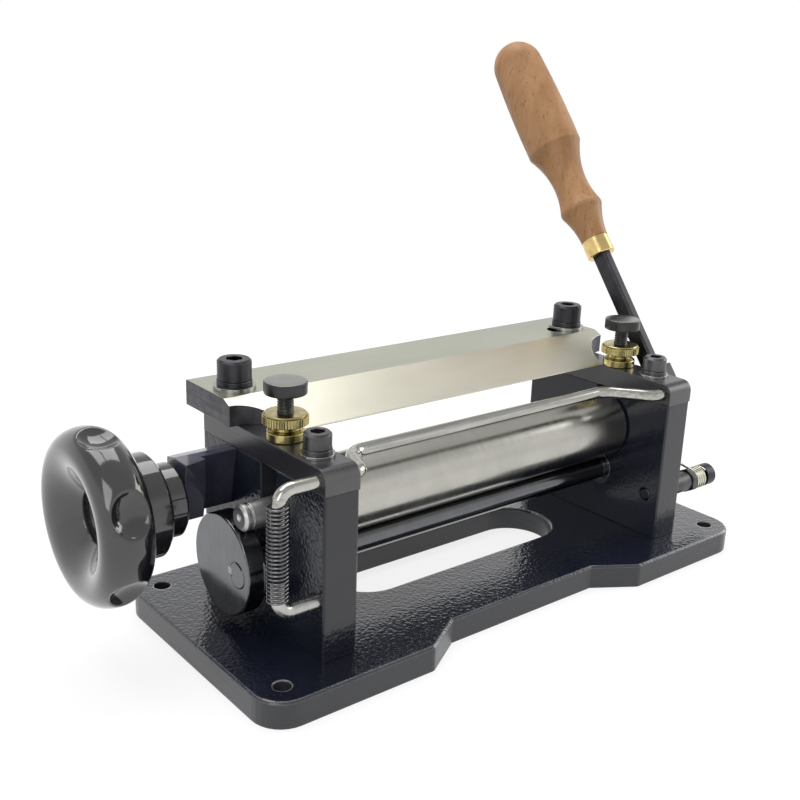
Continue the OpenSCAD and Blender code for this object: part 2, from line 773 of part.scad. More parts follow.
// Brass ferrule, slightly tapered, round the handle's neck
module handle_ferrule() {
    color([0.72, 0.6, 0.28]) handle_axis() rotate_extrude($fn = fine) polygon([
        [bar_th / 2 + 0.3, 0], [ferrule_d / 2 - 0.4, 0], [ferrule_d / 2, 0.4],
        [ferrule_d / 2 - 0.2, ferrule_len], [ferrule_d / 2 - 1.2, ferrule_len],
        [ferrule_d / 2 - 1, 1], [bar_th / 2 + 0.3, 1]]);
}

// Handle profile: neck in the ferrule, hollow to a ring, waist, barrel and dome
function arc_points(p, q, sag, n) = [for (i = [1 : n]) let (t = i / n)
    [p[0] + (q[0] - p[0]) * t - 4 * sag * t * (1 - t), p[1] + (q[1] - p[1]) * t]];

module lever_handle() {
    neck = ferrule_d / 2 - 1.2;
    top = ferrule_len + handle_len;
    barrel = handle_d / 2;
    tip = barrel - 1.2;
    dome_z = top - barrel * 0.95;
    neck_top = [ferrule_d / 2 - 0.1, ferrule_len];
    ring_top = [10, ferrule_len + 15.5];
    shoulder = [barrel - 0.3, ferrule_len + 49];
    outline = concat([[0, 1.2], [neck + 0.1, 1.2], [neck, ferrule_len], neck_top],
        arc_points(neck_top, ring_top, 0.8, 8), [[10.1, ferrule_len + 16.8]],
        arc_points([10.1, ferrule_len + 16.8], shoulder, 3.4, 16),
        arc_points(shoulder, [tip, dome_z], -0.5, 8),
        [for (i = [1 : 12]) let (a = 90 * i / 12)
            [tip * cos(a), dome_z + (top - dome_z) * sin(a)]]);
    color([0.78, 0.56, 0.38]) handle_axis() difference() {
        rotate_extrude($fn = fine) polygon(outline);
        translate([0, 0, -1]) cylinder(h = 42, d = bar_th, $fn = fine);
    }
}

// ---------------------------------------------------------------- stop post

post_size = m6;
post_y = upright_y0 + 7.4;
post_z = shaft_z - 4;
sleeve_end = upright_out + 14.4;
post_nut_th = 3;
nut_end = sleeve_end + post_nut_th;
spring_end = nut_end + 8.3;
torsion_wire = 1.1;
torsion_r = post_size[0] / 2 + 0.4 + torsion_wire / 2;
torsion_turns = 4;
// the long leg leaves the coil's top and passes under the arm's pin
pin_world = [roller_y + pin_at[0] * cos(lever_lean) + pin_at[1] * sin(lever_lean) - post_y,
    shaft_z - pin_at[0] * sin(lever_lean) + pin_at[1] * cos(lever_lean) - post_z];
pin_below = torsion_r + torsion_wire / 2 + pin_d / 2 + face_gap;
leg_turn = atan2(pin_world[1], pin_world[0])
    - asin(pin_below / norm(pin_world));
spring_reach = norm(pin_world) + 3;

module stop_post_bolt() {
    color([0.14, 0.14, 0.15]) translate([spring_end, post_y, post_z]) rotate([0, 90, 0])
        socket_screw(post_size, spring_end - upright_x);
}

module stop_post_sleeve() {
    color([0.2, 0.2, 0.22]) translate([0, post_y, post_z]) rotate([0, 90, 0])
        ring(upright_out, sleeve_end, 9, post_size[0] + 2 * fit_gap);
}

module stop_post_nut() {
    color([0.3, 0.3, 0.3]) translate([sleeve_end, post_y, post_z]) rotate([0, 90, 0]) difference() {
        intersection() {
            cylinder(h = post_nut_th, d = 10 / cos(30), $fn = 6);
            turned_bar(post_nut_th, 11.4, 0.5);
        }
        translate([0, 0, -1]) cylinder(h = 7, d = post_size[0], $fn = fine);
    }
}

// Torsion spring: four turns on the bolt, a long leg up and back to the lever
torsion_path = let (per = 8, r = torsion_r, pitch = 1.6, x0 = nut_end + 1, n = torsion_turns * per,
    reach = spring_reach / 4, a0 = leg_turn + 90)
    concat([for (k = [4 : -1 : 1]) [x0, r * cos(a0) + cos(leg_turn) * reach * k,
        r * sin(a0) + sin(leg_turn) * reach * k]],
    [for (i = [0 : n]) let (a = a0 + 360 * i / per) [x0 + pitch * i / per, r * cos(a), r * sin(a)]],
    [[x0 + pitch * torsion_turns, r * cos(a0) - cos(leg_turn) * 2, r * sin(a0) - sin(leg_turn) * 2]]);

module torsion_spring() {
    echo(torsion_spring_gap = self_gap(torsion_path, torsion_wire, 7));
    color([0.75, 0.7, 0.5]) translate([0, post_y, post_z])
        swept_tube(torsion_path, torsion_wire, [1, 0, 0]);
}

// ---------------------------------------------------------------- guard rod

bend_r = 5.5;            // where the rods turn into the spring
mid_bends = [10, 10, 9, 5]; // along the rod's middle run, right to left
spring_x = -upright_out - spring_out;
spring_top = rod_z - bend_r + 1.2;
spring_low = anchor_z + bend_r - 1.2;
leg_len = 12;

// The rod hinges in the caps; its left end turns down into the spring
module guard_rod() {
    mid_y = rod_y + rod_reach;
    x = upright_x;
    color([0.8, 0.8, 0.78]) bent_rod([[upright_out - 0.5, rod_y, rod_z], [x - 5.2, rod_y, rod_z],
        [x - 19.2, mid_y, rod_z], [10.2 - x, mid_y, rod_z], [3.7 - x, rod_y, rod_z],
        [spring_x, rod_y, rod_z], [spring_x, rod_y, rod_z - leg_len]],
        concat(mid_bends, bend_r), rod_d);
}

module spring_anchor_rod() {
    color([0.8, 0.8, 0.78]) bent_rod([[-upright_out + 8.5, rod_y, anchor_z],
        [spring_x, rod_y, anchor_z], [spring_x, rod_y, anchor_z + leg_len]], [bend_r], rod_d);
}

// Coil spring round the two rod ends, its own ends running straight off the coil
spring_path = let (per = 8, r = rod_d / 2 + 0.35 + spring_wire / 2, n = spring_turns * per,
    z0 = spring_low + spring_wire / 2, h = spring_top - spring_low - spring_wire, t = spring_wire)
    concat([[r, -t, z0]], [for (i = [0 : n]) let (a = 360 * i / per)
        [r * cos(a), r * sin(a), z0 + h * i / n]], [[r, t, z0 + h]]);

module guard_spring() {
    echo(guard_spring_gap = self_gap(spring_path, spring_wire, 7));
    color([0.3, 0.3, 0.32]) translate([spring_x, rod_y, 0])
        swept_tube(spring_path, spring_wire, [0, 0, 1]);
}

// ---------------------------------------------------------------- handwheel

bracket_z0 = wheel_z - 7.8;
block_x = left_end - 1.8;
block_end = block_x - 8.8;
clamp_r = 5;
clamp_gap = 1;           // way of the pad to the cam's face

// The cam's rim passes in front of the arm's sloped face
bracket_low_y = roller_y + cam_throw + cam_d / 2 - 4.2;
bracket_rear = [[20, cap_z], [25.1, cap_z - 1.1], [30, cap_z - 2.9], [35, cap_z - 5.3],
    [-upright_y0, cap_z - 8.3], [-upright_y0, bracket_z0]];

module bracket_screw_places() {
    for (y = [24.5, 33.8]) translate([-upright_x, y, wheel_z]) rotate([0, -90, 0]) children();
}

// Bracket: an arm behind the cam, widening to a threaded block for the clamp screw
module clamp_bracket() {
    color([0.06, 0.06, 0.07]) difference() {
        intersection() {
            translate([0, 0, bracket_z0]) linear_extrude(cap_z - bracket_z0) polygon([
                [-upright_out, 12.6], [block_x, 12.6], [block_end, 10.4], [block_end, 25],
                [-upright_out - 7, 38.8], [-upright_out, -upright_y0]]);
            union() {
                plate_x(block_end, block_x)
                    polygon(concat([[15, bracket_z0], [10.4, cap_z]], bracket_rear));
                plate_x(block_x - eps, -upright_out)
                    polygon(concat([[bracket_low_y, bracket_z0], [16, cap_z]], bracket_rear));
            }
        }
        bar_x(block_end - 1, block_x, wheel_back, wheel_z, screw_d + 2 * thread_gap);
        bar_x(block_x - 1.3, left_end + 0.7, wheel_back, wheel_z, 2 * clamp_r + 2 * face_gap);
        bracket_screw_places() translate([0, 0, upright_th - 1])
            cylinder(h = 9.5, d = m5[0] + 2 * thread_gap, $fn = fine);
    }
}

module bracket_screws() {
    color([0.14, 0.14, 0.15]) bracket_screw_places() translate([0, 0, m5[2] + 0.5])
        mirror([0, 0, 1]) socket_screw(m5, upright_th - m5[2] + 7.5);
}

// Pad that the screw pushes against the face of the raised cam
module clamp_pad() {
    h = 1.8;
    color([0.55, 0.5, 0.35]) translate([left_end - clamp_gap - h, wheel_back, wheel_z])
        rotate([0, 90, 0]) difference() {
            turned_bar(h, 2 * clamp_r, 0.3);
            translate([0, 0, -1]) cylinder(h = 1 + h - 0.6, d = tip_d + 2 * fit_gap, $fn = fine);
        }
}

tip_d = 4.2;
hub_end = block_end - 1.1;
hub_x = hub_end - 8.5;
wheel_front = hub_x - 29.8;
wheel_seat = 11.7;       // depth of the recess that the cap sits in

module clamp_screw() {
    tip = left_end - clamp_gap - 0.7;
    color([0.6, 0.6, 0.6]) {
        bar_x(wheel_front + wheel_seat + 0.5, tip - 2.4, wheel_back, wheel_z, screw_d);
        bar_x(tip - 2.4 - eps, tip, wheel_back, wheel_z, tip_d);
    }
}

// Outer stage of the hub, next to the bracket
module handwheel_collar() {
    color([0.06, 0.06, 0.07]) translate([hub_x, wheel_back, wheel_z]) rotate([0, 90, 0]) difference() {
        turned_bar(hub_end - hub_x, 27.4, 1);
        translate([0, 0, -1]) cylinder(h = 20, d = screw_d + 2 * thread_gap, $fn = fine);
    }
}

// Wheel: round rim with finger hollows, dished face with a recess, stepped hub
module handwheel() {
    r = wheel_d / 2;
    th = wheel_th;
    rim = 7.5;
    back = hub_x - wheel_front;
    seat = wheel_seat;
    face = [for (i = [0 : 10]) let (t = i / 10) [10 + (r - rim - 10) * t, 8 - 8 * sin(90 * t)]];
    outer = [for (i = [0 : 14]) let (a = 90 - 180 * i / 14) [r - rim + rim * cos(a),
        th / 2 - th / 2 * sin(a)]];
    color([0.05, 0.05, 0.06]) translate([wheel_front, wheel_back, wheel_z]) rotate([0, 90, 0])
        difference() {
            rotate_extrude($fn = 96) polygon(concat([[0, seat], [9.5, seat], [9.5, 8.2]], face, outer,
                [[19.2, th - 1.5], [19.2, back - 1.2], [18, back], [0, back]]));
            for (i = [0 : wheel_hollows - 1]) rotate([0, 0, 360 * i / wheel_hollows - 111])
                translate([r + 7.2, 0, th * 0.5]) sphere(r = 11.5, $fn = fine);
            translate([0, 0, seat - 1])
                cylinder(h = 40, d = screw_d + 2 * thread_gap, $fn = fine);
        }
}

module handwheel_cap() {
    h = 1.1;
    color([0.16, 0.16, 0.17]) translate([wheel_front + wheel_seat - h, wheel_back, wheel_z])
        rotate([0, 90, 0]) turned_bar(h, 18.4, 0.3);
}

// ---------------------------------------------------------------- stop screws

// Black screw with a round flat head
module stop_screw(side) {
    head_top = blade_z + 21.5;
    stop_places(side) translate([0, 0, pad_z0 + 0.8]) {
        cylinder(h = head_top - 4.6 - pad_z0 - 0.8 + eps, d = stop_d, $fn = fine);
        translate([0, 0, head_top - 4.6 - pad_z0 - 0.8]) turned_bar(4.6, 15.5, 0.4);
    }
}

module left_stop_screw() { color([0.12, 0.12, 0.12]) stop_screw(-1); }
module right_stop_screw() { color([0.12, 0.12, 0.12]) stop_screw(1); }

// Pad under the stop screw, which meets the axle
module stop_pad(side) {
    stop_places(side) translate([0, 0, pad_z0]) difference() {
        turned_bar(pad_th, pad_d, 0.3);
        translate([0, 0, 0.7]) cylinder(h = 3, d = stop_d + 2 * fit_gap, $fn = fine);
    }
}

module left_stop_pad() { color([0.6, 0.6, 0.6]) stop_pad(-1); }
module right_stop_pad() { color([0.6, 0.6, 0.6]) stop_pad(1); }

// Toothed outline for knurled rims
module knurl_outline(r, teeth, deep) {
    polygon([for (i = [0 : 2 * teeth - 1]) let (a = 180 * i / teeth, q = i % 2 == 0 ? r : r - deep)
        [q * cos(a), q * sin(a)]]);
}

// Brass nut: knurled upper flange, waist and lower flange
module knurled_nut(side) {
    stop_places(side) translate([0, 0, blade_z]) difference() {
        union() {
            turned_bar(3.3, 2 * nut_low_r, 0.3);
            rotate_extrude($fn = fine) polygon([[0, 3.2], [6.4, 3.2], [5.2, 4.1], [5.2, 4.9],
                [7.6, 6], [0, 6]]);
            translate([0, 0, 6]) linear_extrude(3) knurl_outline(8.3, 48, 0.3);
            translate([0, 0, 9]) turned_bar(0.9, 15.6, 0.4);
        }
        translate([0, 0, -1]) cylinder(h = 14, d = stop_d + 2 * fit_gap, $fn = fine);
    }
}

module left_knurled_nut() { color([0.72, 0.6, 0.25]) knurled_nut(-1); }
module right_knurled_nut() { color([0.72, 0.6, 0.25]) knurled_nut(1); }

base_plate();
upright_screws();
left_upright();
right_upright();
left_cap();
right_cap();
cap_screws();
cap_spring_washers();
cap_washers();
splitting_blade();
blade_screws();
blade_spring_washers();
blade_washers();
roller_tube();
bearing_outer_rings();
bearing_balls();
roller_axle();
bearing_inner_rings();
cam_shaft();
shaft_bushes();
left_cam();
right_cam();
cam_keys();
cam_set_screw();
lever_arm();
arm_spring_pin();
lever_arm_screw();
lever_bar();
handle_ferrule();
lever_handle();
stop_post_bolt();
stop_post_nut();
stop_post_sleeve();
torsion_spring();
guard_rod();
spring_anchor_rod();
guard_spring();
clamp_bracket();
bracket_screws();
clamp_pad();
clamp_screw();
handwheel();
handwheel_collar();
handwheel_cap();
left_stop_screw();
right_stop_screw();
left_stop_pad();
right_stop_pad();
left_knurled_nut();
right_knurled_nut();
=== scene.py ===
import math

import bpy
import numpy as np
from mathutils import Matrix, Vector


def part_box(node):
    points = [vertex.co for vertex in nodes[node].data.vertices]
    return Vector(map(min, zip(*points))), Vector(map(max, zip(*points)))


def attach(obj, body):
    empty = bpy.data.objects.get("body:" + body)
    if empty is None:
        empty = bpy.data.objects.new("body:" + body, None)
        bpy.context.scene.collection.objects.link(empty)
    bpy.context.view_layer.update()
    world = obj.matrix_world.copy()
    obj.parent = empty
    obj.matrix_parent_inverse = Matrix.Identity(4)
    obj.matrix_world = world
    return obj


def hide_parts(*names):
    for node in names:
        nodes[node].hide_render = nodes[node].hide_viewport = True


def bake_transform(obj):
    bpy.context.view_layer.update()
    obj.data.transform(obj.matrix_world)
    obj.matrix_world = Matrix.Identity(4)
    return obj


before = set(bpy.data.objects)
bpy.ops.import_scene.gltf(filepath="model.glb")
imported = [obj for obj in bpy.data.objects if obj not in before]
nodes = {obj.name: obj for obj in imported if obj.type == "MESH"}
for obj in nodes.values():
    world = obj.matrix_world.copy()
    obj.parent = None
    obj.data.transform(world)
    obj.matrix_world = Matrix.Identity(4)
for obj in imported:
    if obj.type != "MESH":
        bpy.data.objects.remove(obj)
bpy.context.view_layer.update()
scene = bpy.context.scene
for spare in ("Cube", "Light", "Camera"):
    if spare in bpy.data.objects:
        bpy.data.objects.remove(bpy.data.objects[spare])
print("frame loaded:", len(nodes), "nodes")


# node shorthand

def addNode(tree, kind, inputs=None, **settings):
    made = tree.nodes.new(kind)
    for key, value in settings.items():
        setattr(made, key, value)
    for key, value in (inputs or {}).items():
        if isinstance(value, bpy.types.NodeSocket):
            tree.links.new(value, made.inputs[key])
        else:
            made.inputs[key].default_value = value
    return made


def calc(tree, operation, a, b=0.0):
    return addNode(tree, "ShaderNodeMath", {0: a, 1: b}, operation=operation).outputs[0]


def between(tree, value, low, high, outLow=0.0, outHigh=1.0):
    # eased step from outLow to outHigh while value runs from low to high
    made = addNode(tree, "ShaderNodeMapRange", {0: value, 1: low, 2: high, 3: outLow, 4: outHigh},
                   interpolation_type="SMOOTHSTEP")
    return made.outputs[0]


def blendColour(tree, share, a, b, how="MIX"):
    made = addNode(tree, "ShaderNodeMix", data_type="RGBA", blend_type=how)
    for index, value in ((0, share), (6, a), (7, b)):
        if isinstance(value, bpy.types.NodeSocket):
            tree.links.new(value, made.inputs[index])
        elif index == 0:
            made.inputs[index].default_value = value
        else:
            made.inputs[index].default_value = (*value[:3], 1)
    return made.outputs[2]


def placed(tree, scale=(1, 1, 1), turn=(0, 0, 0)):
    # object coordinates in metres, stretched or turned for a pattern with a direction
    coords = addNode(tree, "ShaderNodeTexCoord").outputs["Object"]
    if scale == (1, 1, 1) and turn == (0, 0, 0):
        return coords
    made = addNode(tree, "ShaderNodeMapping", {"Vector": coords, "Scale": scale,
                   "Rotation": [math.radians(v) for v in turn]})
    return made.outputs[0]


def noise(tree, coords, size, detail=3.0, rough=0.55, warp=0.0):
    # size is the width of one blotch in metres
    return addNode(tree, "ShaderNodeTexNoise", {"Vector": coords, "Scale": 1 / size, "Detail": detail,
                   "Roughness": rough, "Distortion": warp}).outputs[0]


def cells(tree, coords, size, soft=1.0):
    return addNode(tree, "ShaderNodeTexVoronoi", {"Vector": coords, "Scale": 1 / size, "Smoothness": soft},
                   feature="SMOOTH_F1").outputs[0]


def bump(tree, height, depth, under):
    # depth is in metres, on top of the normal under it
    return addNode(tree, "ShaderNodeBump", {"Height": height, "Distance": depth, "Normal": under}).outputs[0]


def mixValue(tree, share, a, b):
    return addNode(tree, "ShaderNodeMix", {0: share, 2: a, 3: b}).outputs[0]


def greyLevel(tree, value):
    return addNode(tree, "ShaderNodeCombineColor", {0: value, 1: value, 2: value}).outputs[0]


def newFinish(name):
    made = bpy.data.materials.new(name)
    made.use_nodes = True
    tree = made.node_tree
    tree.nodes.clear()
    shader = addNode(tree, "ShaderNodeBsdfPrincipled")
    out = addNode(tree, "ShaderNodeOutputMaterial")
    tree.links.new(shader.outputs[0], out.inputs[0])
    return made, tree, shader


def feed(tree, shader, **values):
    names = {"colour": "Base Color", "metal": "Metallic", "rough": "Roughness", "normal": "Normal",
             "coat": "Coat Weight", "coatRough": "Coat Roughness", "coatNormal": "Coat Normal",
             "specular": "Specular IOR Level"}
    for key, value in values.items():
        socket = shader.inputs[names[key]]
        if isinstance(value, bpy.types.NodeSocket):
            tree.links.new(value, socket)
        elif key == "colour":
            socket.default_value = (*value, 1)
        else:
            socket.default_value = value


def edges(tree, radius):
    # rounded normal, and how far it leaves the true one: 0 on flats, 1 on sharp edges
    rounded = addNode(tree, "ShaderNodeBevel", {"Radius": radius}, samples=6).outputs[0]
    true = addNode(tree, "ShaderNodeNewGeometry").outputs["Normal"]
    along = addNode(tree, "ShaderNodeVectorMath", {0: rounded, 1: true},
                    operation="DOT_PRODUCT").outputs["Value"]
    return rounded, between(tree, along, 0.995, 0.80)


def facing(tree):
    normal = addNode(tree, "ShaderNodeTexCoord").outputs["Normal"]
    return addNode(tree, "ShaderNodeSeparateXYZ", {0: normal}).outputs


def position(tree):
    coords = addNode(tree, "ShaderNodeTexCoord").outputs["Object"]
    return addNode(tree, "ShaderNodeSeparateXYZ", {0: coords}).outputs


def dress(finish, *names):
    for name in names:
        slots = nodes[name].data.materials
        slots.clear()
        slots.append(finish)


def rubbedEdge(tree, edge, blotch, low, high, most):
    # edge wear broken up by a noise whose blotches are that wide
    broken = between(tree, noise(tree, placed(tree), blotch, 4), low, high)
    return calc(tree, "MULTIPLY", calc(tree, "MULTIPLY", edge, broken), most)


# paints

wrinkle = {
    "colour": (0.0086, 0.0104, 0.0200), "worn": (0.075, 0.077, 0.085), "paintedHighlight": (0.56, 0.56, 0.58),
    "pebble": 0.00135, "push": 0.0011, "pushScale": 420, "depth": 0.00013, "rough": (0.12, 0.22),
    "coat": (0.9, 0.15), "side": (0.040, 0.042, 0.048), "sideRough": (0.26, 0.38), "edge": 0.0011,
}


def wrinkleHeight(tree):
    # pebbles of two sizes, pushed out of line by a coarser noise
    coords = placed(tree)
    push = addNode(tree, "ShaderNodeTexNoise", {"Vector": coords, "Scale": wrinkle["pushScale"],
                   "Detail": 2}).outputs["Color"]
    shifted = addNode(tree, "ShaderNodeVectorMath", {0: push, 1: [wrinkle["push"]] * 3},
                      operation="MULTIPLY").outputs[0]
    coords = addNode(tree, "ShaderNodeVectorMath", {0: coords, 1: shifted}, operation="ADD").outputs[0]
    big = cells(tree, coords, wrinkle["pebble"], 0.8)
    small = noise(tree, coords, wrinkle["pebble"] * 0.55, 2)
    return calc(tree, "SUBTRACT", calc(tree, "MULTIPLY", small, 0.35), big)


def wrinklePaint():
    # wrinkled top, smooth machined sides painted thinner, and an edge rubbed smooth between them, lightened
    # as a painted highlight where it faces up
    made, tree, shader = newFinish("wrinklePaint")
    patch = between(tree, noise(tree, placed(tree), 0.035, 4), 0.3, 0.7)
    fine = noise(tree, placed(tree), 0.0016, 3)
    rounded, edge = edges(tree, wrinkle["edge"])
    upward = calc(tree, "ABSOLUTE", facing(tree)[2])
    side = between(tree, upward, 0.80, 0.55)
    patchy = between(tree, noise(tree, placed(tree), 0.006, 4), 0.38, 0.62, 0.45, 1.0)
    # edge mask: edge wear on all edges, and a painted highlight on those that face up
    worn = calc(tree, "MULTIPLY", calc(tree, "MULTIPLY", edge, patchy), 0.9)
    colour = blendColour(tree, patch, wrinkle["colour"], [v * 1.5 for v in wrinkle["colour"]])
    plain = blendColour(tree, patch, wrinkle["side"], [v * 1.2 for v in wrinkle["side"]])
    colour = blendColour(tree, side, colour, plain)
    # upward-facing edges turn nearly white: painted highlight; the other edges keep the worn colour
    tilt = addNode(tree, "ShaderNodeSeparateXYZ", {0: rounded}).outputs[2]
    wornEdgeAndHighlight = blendColour(tree, between(tree, tilt, 0.25, 0.50), wrinkle["worn"], wrinkle["paintedHighlight"])
    colour = blendColour(tree, worn, colour, wornEdgeAndHighlight)
    smooth = calc(tree, "MAXIMUM", side, calc(tree, "MULTIPLY", edge, 0.85))
    brushed = noise(tree, placed(tree, (0.04, 0.04, 1)), 0.0009, 3)
    sideRough = between(tree, brushed, 0.3, 0.7, *wrinkle["sideRough"])
    rough = mixValue(tree, side, between(tree, fine, 0.3, 0.7, *wrinkle["rough"]), sideRough)
    height = mixValue(tree, smooth, wrinkleHeight(tree), calc(tree, "MULTIPLY", brushed, 0.04))
    shape = bump(tree, height, wrinkle["depth"], rounded)
    feed(tree, shader, colour=colour, rough=rough, normal=shape,
         coat=between(tree, side, 0, 1, *wrinkle["coat"]), coatRough=0.10, coatNormal=shape, specular=0.5)
    return made


upright = {
    "face": (0.028, 0.029, 0.035), "faceRough": (0.22, 0.36), "paintLine": 0.0215, "ragged": 0.004,
    "mill": 0.0007, "coat": (0.10, 0.40), "edge": 0.0009, "flatter": 0.3,
}


def uprightPaint():
    # wrinkled sides, flatter on the right one, smooth milled front, back and top, and a ragged painted foot
    made, tree, shader = newFinish("uprightPaint")
    turned = facing(tree)
    place = position(tree)
    flatSide = calc(tree, "MAXIMUM", between(tree, calc(tree, "ABSOLUTE", turned[1]), 0.6, 0.8),
                    between(tree, turned[2], 0.6, 0.8))
    ragged = noise(tree, placed(tree), 0.004, 4)
    above = calc(tree, "SUBTRACT", place[2], calc(tree, "MULTIPLY", calc(tree, "SUBTRACT", ragged, 0.5),
                 upright["ragged"] * 2))
    line = upright["paintLine"]
    smooth = calc(tree, "MULTIPLY", flatSide, between(tree, above, line - 0.0005, line + 0.0005))
    rounded, edge = edges(tree, upright["edge"])
    patch = between(tree, noise(tree, placed(tree), 0.03, 4), 0.3, 0.7)
    colour = blendColour(tree, patch, wrinkle["colour"], [v * 1.5 for v in wrinkle["colour"]])
    face = blendColour(tree, patch, upright["face"], [v * 1.25 for v in upright["face"]])
    colour = blendColour(tree, smooth, colour, face)
    colour = blendColour(tree, rubbedEdge(tree, edge, 0.005, 0.48, 0.7, 0.5), colour, wrinkle["worn"])
    lines = noise(tree, placed(tree, (1, 1, 0.03)), upright["mill"], 3)
    fineRough = between(tree, lines, 0.25, 0.75, *upright["faceRough"])
    wrinkleRough = between(tree, noise(tree, placed(tree), 0.0016), 0.3, 0.7, *wrinkle["rough"])
    rough = mixValue(tree, smooth, wrinkleRough, fineRough)
    share = between(tree, place[0], -0.02, 0.02, 1.0, upright["flatter"])
    sprayed = calc(tree, "MULTIPLY", wrinkleHeight(tree), share)
    height = mixValue(tree, smooth, sprayed, calc(tree, "MULTIPLY", lines, 0.06))
    shape = bump(tree, height, wrinkle["depth"], rounded)
    feed(tree, shader, colour=colour, rough=rough, normal=shape,
         coat=between(tree, smooth, 0, 1, *upright["coat"]), coatRough=0.16, coatNormal=shape, specular=0.35)
    return made


satin = {
    "top": (0.020, 0.020, 0.025), "front": (0.105, 0.104, 0.103), "worn": (0.18, 0.18, 0.185),
    "rough": (0.24, 0.38), "edge": 0.0008, "grit": 0.000012,
}


def satinBlack():
    # painted satin, paler on the faces turned to the front as a painted reflection
    made, tree, shader = newFinish("satinBlack")
    rounded, edge = edges(tree, satin["edge"])
    patch = noise(tree, placed(tree), 0.02, 5)
    grit = noise(tree, placed(tree), 0.0007, 2)
    scratch = noise(tree, placed(tree, (1, 0.05, 1), (0, 0, 12)), 0.0011, 3)
    # faces turned to the front take a paler colour: painted reflection
    front = between(tree, facing(tree)[1], -0.45, -0.95)
    colour = blendColour(tree, front, satin["top"], satin["front"])
    mottled = blendColour(tree, between(tree, patch, 0.3, 0.7), (0.85, 0.85, 0.85), (1.2, 1.2, 1.2))
    colour = blendColour(tree, 1.0, colour, mottled, "MULTIPLY")
    colour = blendColour(tree, rubbedEdge(tree, edge, 0.004, 0.45, 0.7, 0.7), colour, satin["worn"])
    mixed = calc(tree, "ADD", calc(tree, "MULTIPLY", patch, 0.6), calc(tree, "MULTIPLY", scratch, 0.4))
    rough = between(tree, mixed, 0.3, 0.7, *satin["rough"])
    height = bump(tree, grit, satin["grit"], rounded)
    feed(tree, shader, colour=colour, rough=rough, normal=height, coat=0.35, coatRough=0.2, coatNormal=height)
    return made


gloss = {
    "colour": (0.0440, 0.0450, 0.0700), "worn": (0.13, 0.13, 0.14), "rough": (0.16, 0.26),
    "edge": 0.0007, "peel": 0.00006, "dust": 0.000003,
}


def glossPaint():
    # sprayed gloss with a slight orange peel and a painted highlight along its edges
    made, tree, shader = newFinish("glossPaint")
    rounded, edge = edges(tree, gloss["edge"])
    peel = noise(tree, placed(tree), 0.0035, 1)
    dust = noise(tree, placed(tree), 0.0005, 2)
    patch = noise(tree, placed(tree), 0.015, 3)
    colour = blendColour(tree, between(tree, patch, 0.3, 0.7), gloss["colour"],
                         [v * 1.5 for v in gloss["colour"]])
    # edges lightened: painted highlight along the edges
    colour = blendColour(tree, calc(tree, "MULTIPLY", edge, 0.5), colour, gloss["worn"])
    height = bump(tree, dust, gloss["dust"], bump(tree, peel, gloss["peel"], rounded))
    feed(tree, shader, colour=colour, rough=between(tree, patch, 0.3, 0.7, *gloss["rough"]), normal=height,
         coat=0.6, coatRough=0.12, coatNormal=height)
    return made


bakelite = {
    "wheel": (0.0150, 0.0150, 0.0165), "wheelRough": (0.07, 0.14), "cap": (0.052, 0.052, 0.056),
    "capRough": (0.16, 0.26), "edge": 0.0006, "flow": 0.00012, "dust": 0.0000035,
}


def polishedBakelite(name, main, roughRange):
    # moulded plastic: slow flow waves, haze in the polish, dust
    made, tree, shader = newFinish(name)
    rounded = edges(tree, bakelite["edge"])[0]
    flow = noise(tree, placed(tree), 0.02, 3, warp=0.6)
    haze = noise(tree, placed(tree), 0.007, 4)
    dust = noise(tree, placed(tree), 0.0006, 2)
    colour = blendColour(tree, between(tree, flow, 0.3, 0.7), main, [v * 1.6 for v in main])
    height = bump(tree, dust, bakelite["dust"], bump(tree, flow, bakelite["flow"], rounded))
    feed(tree, shader, colour=colour, rough=between(tree, haze, 0.3, 0.7, *roughRange), normal=height,
         coat=0.9, coatRough=0.03, coatNormal=height, specular=0.6)
    return made


# metals

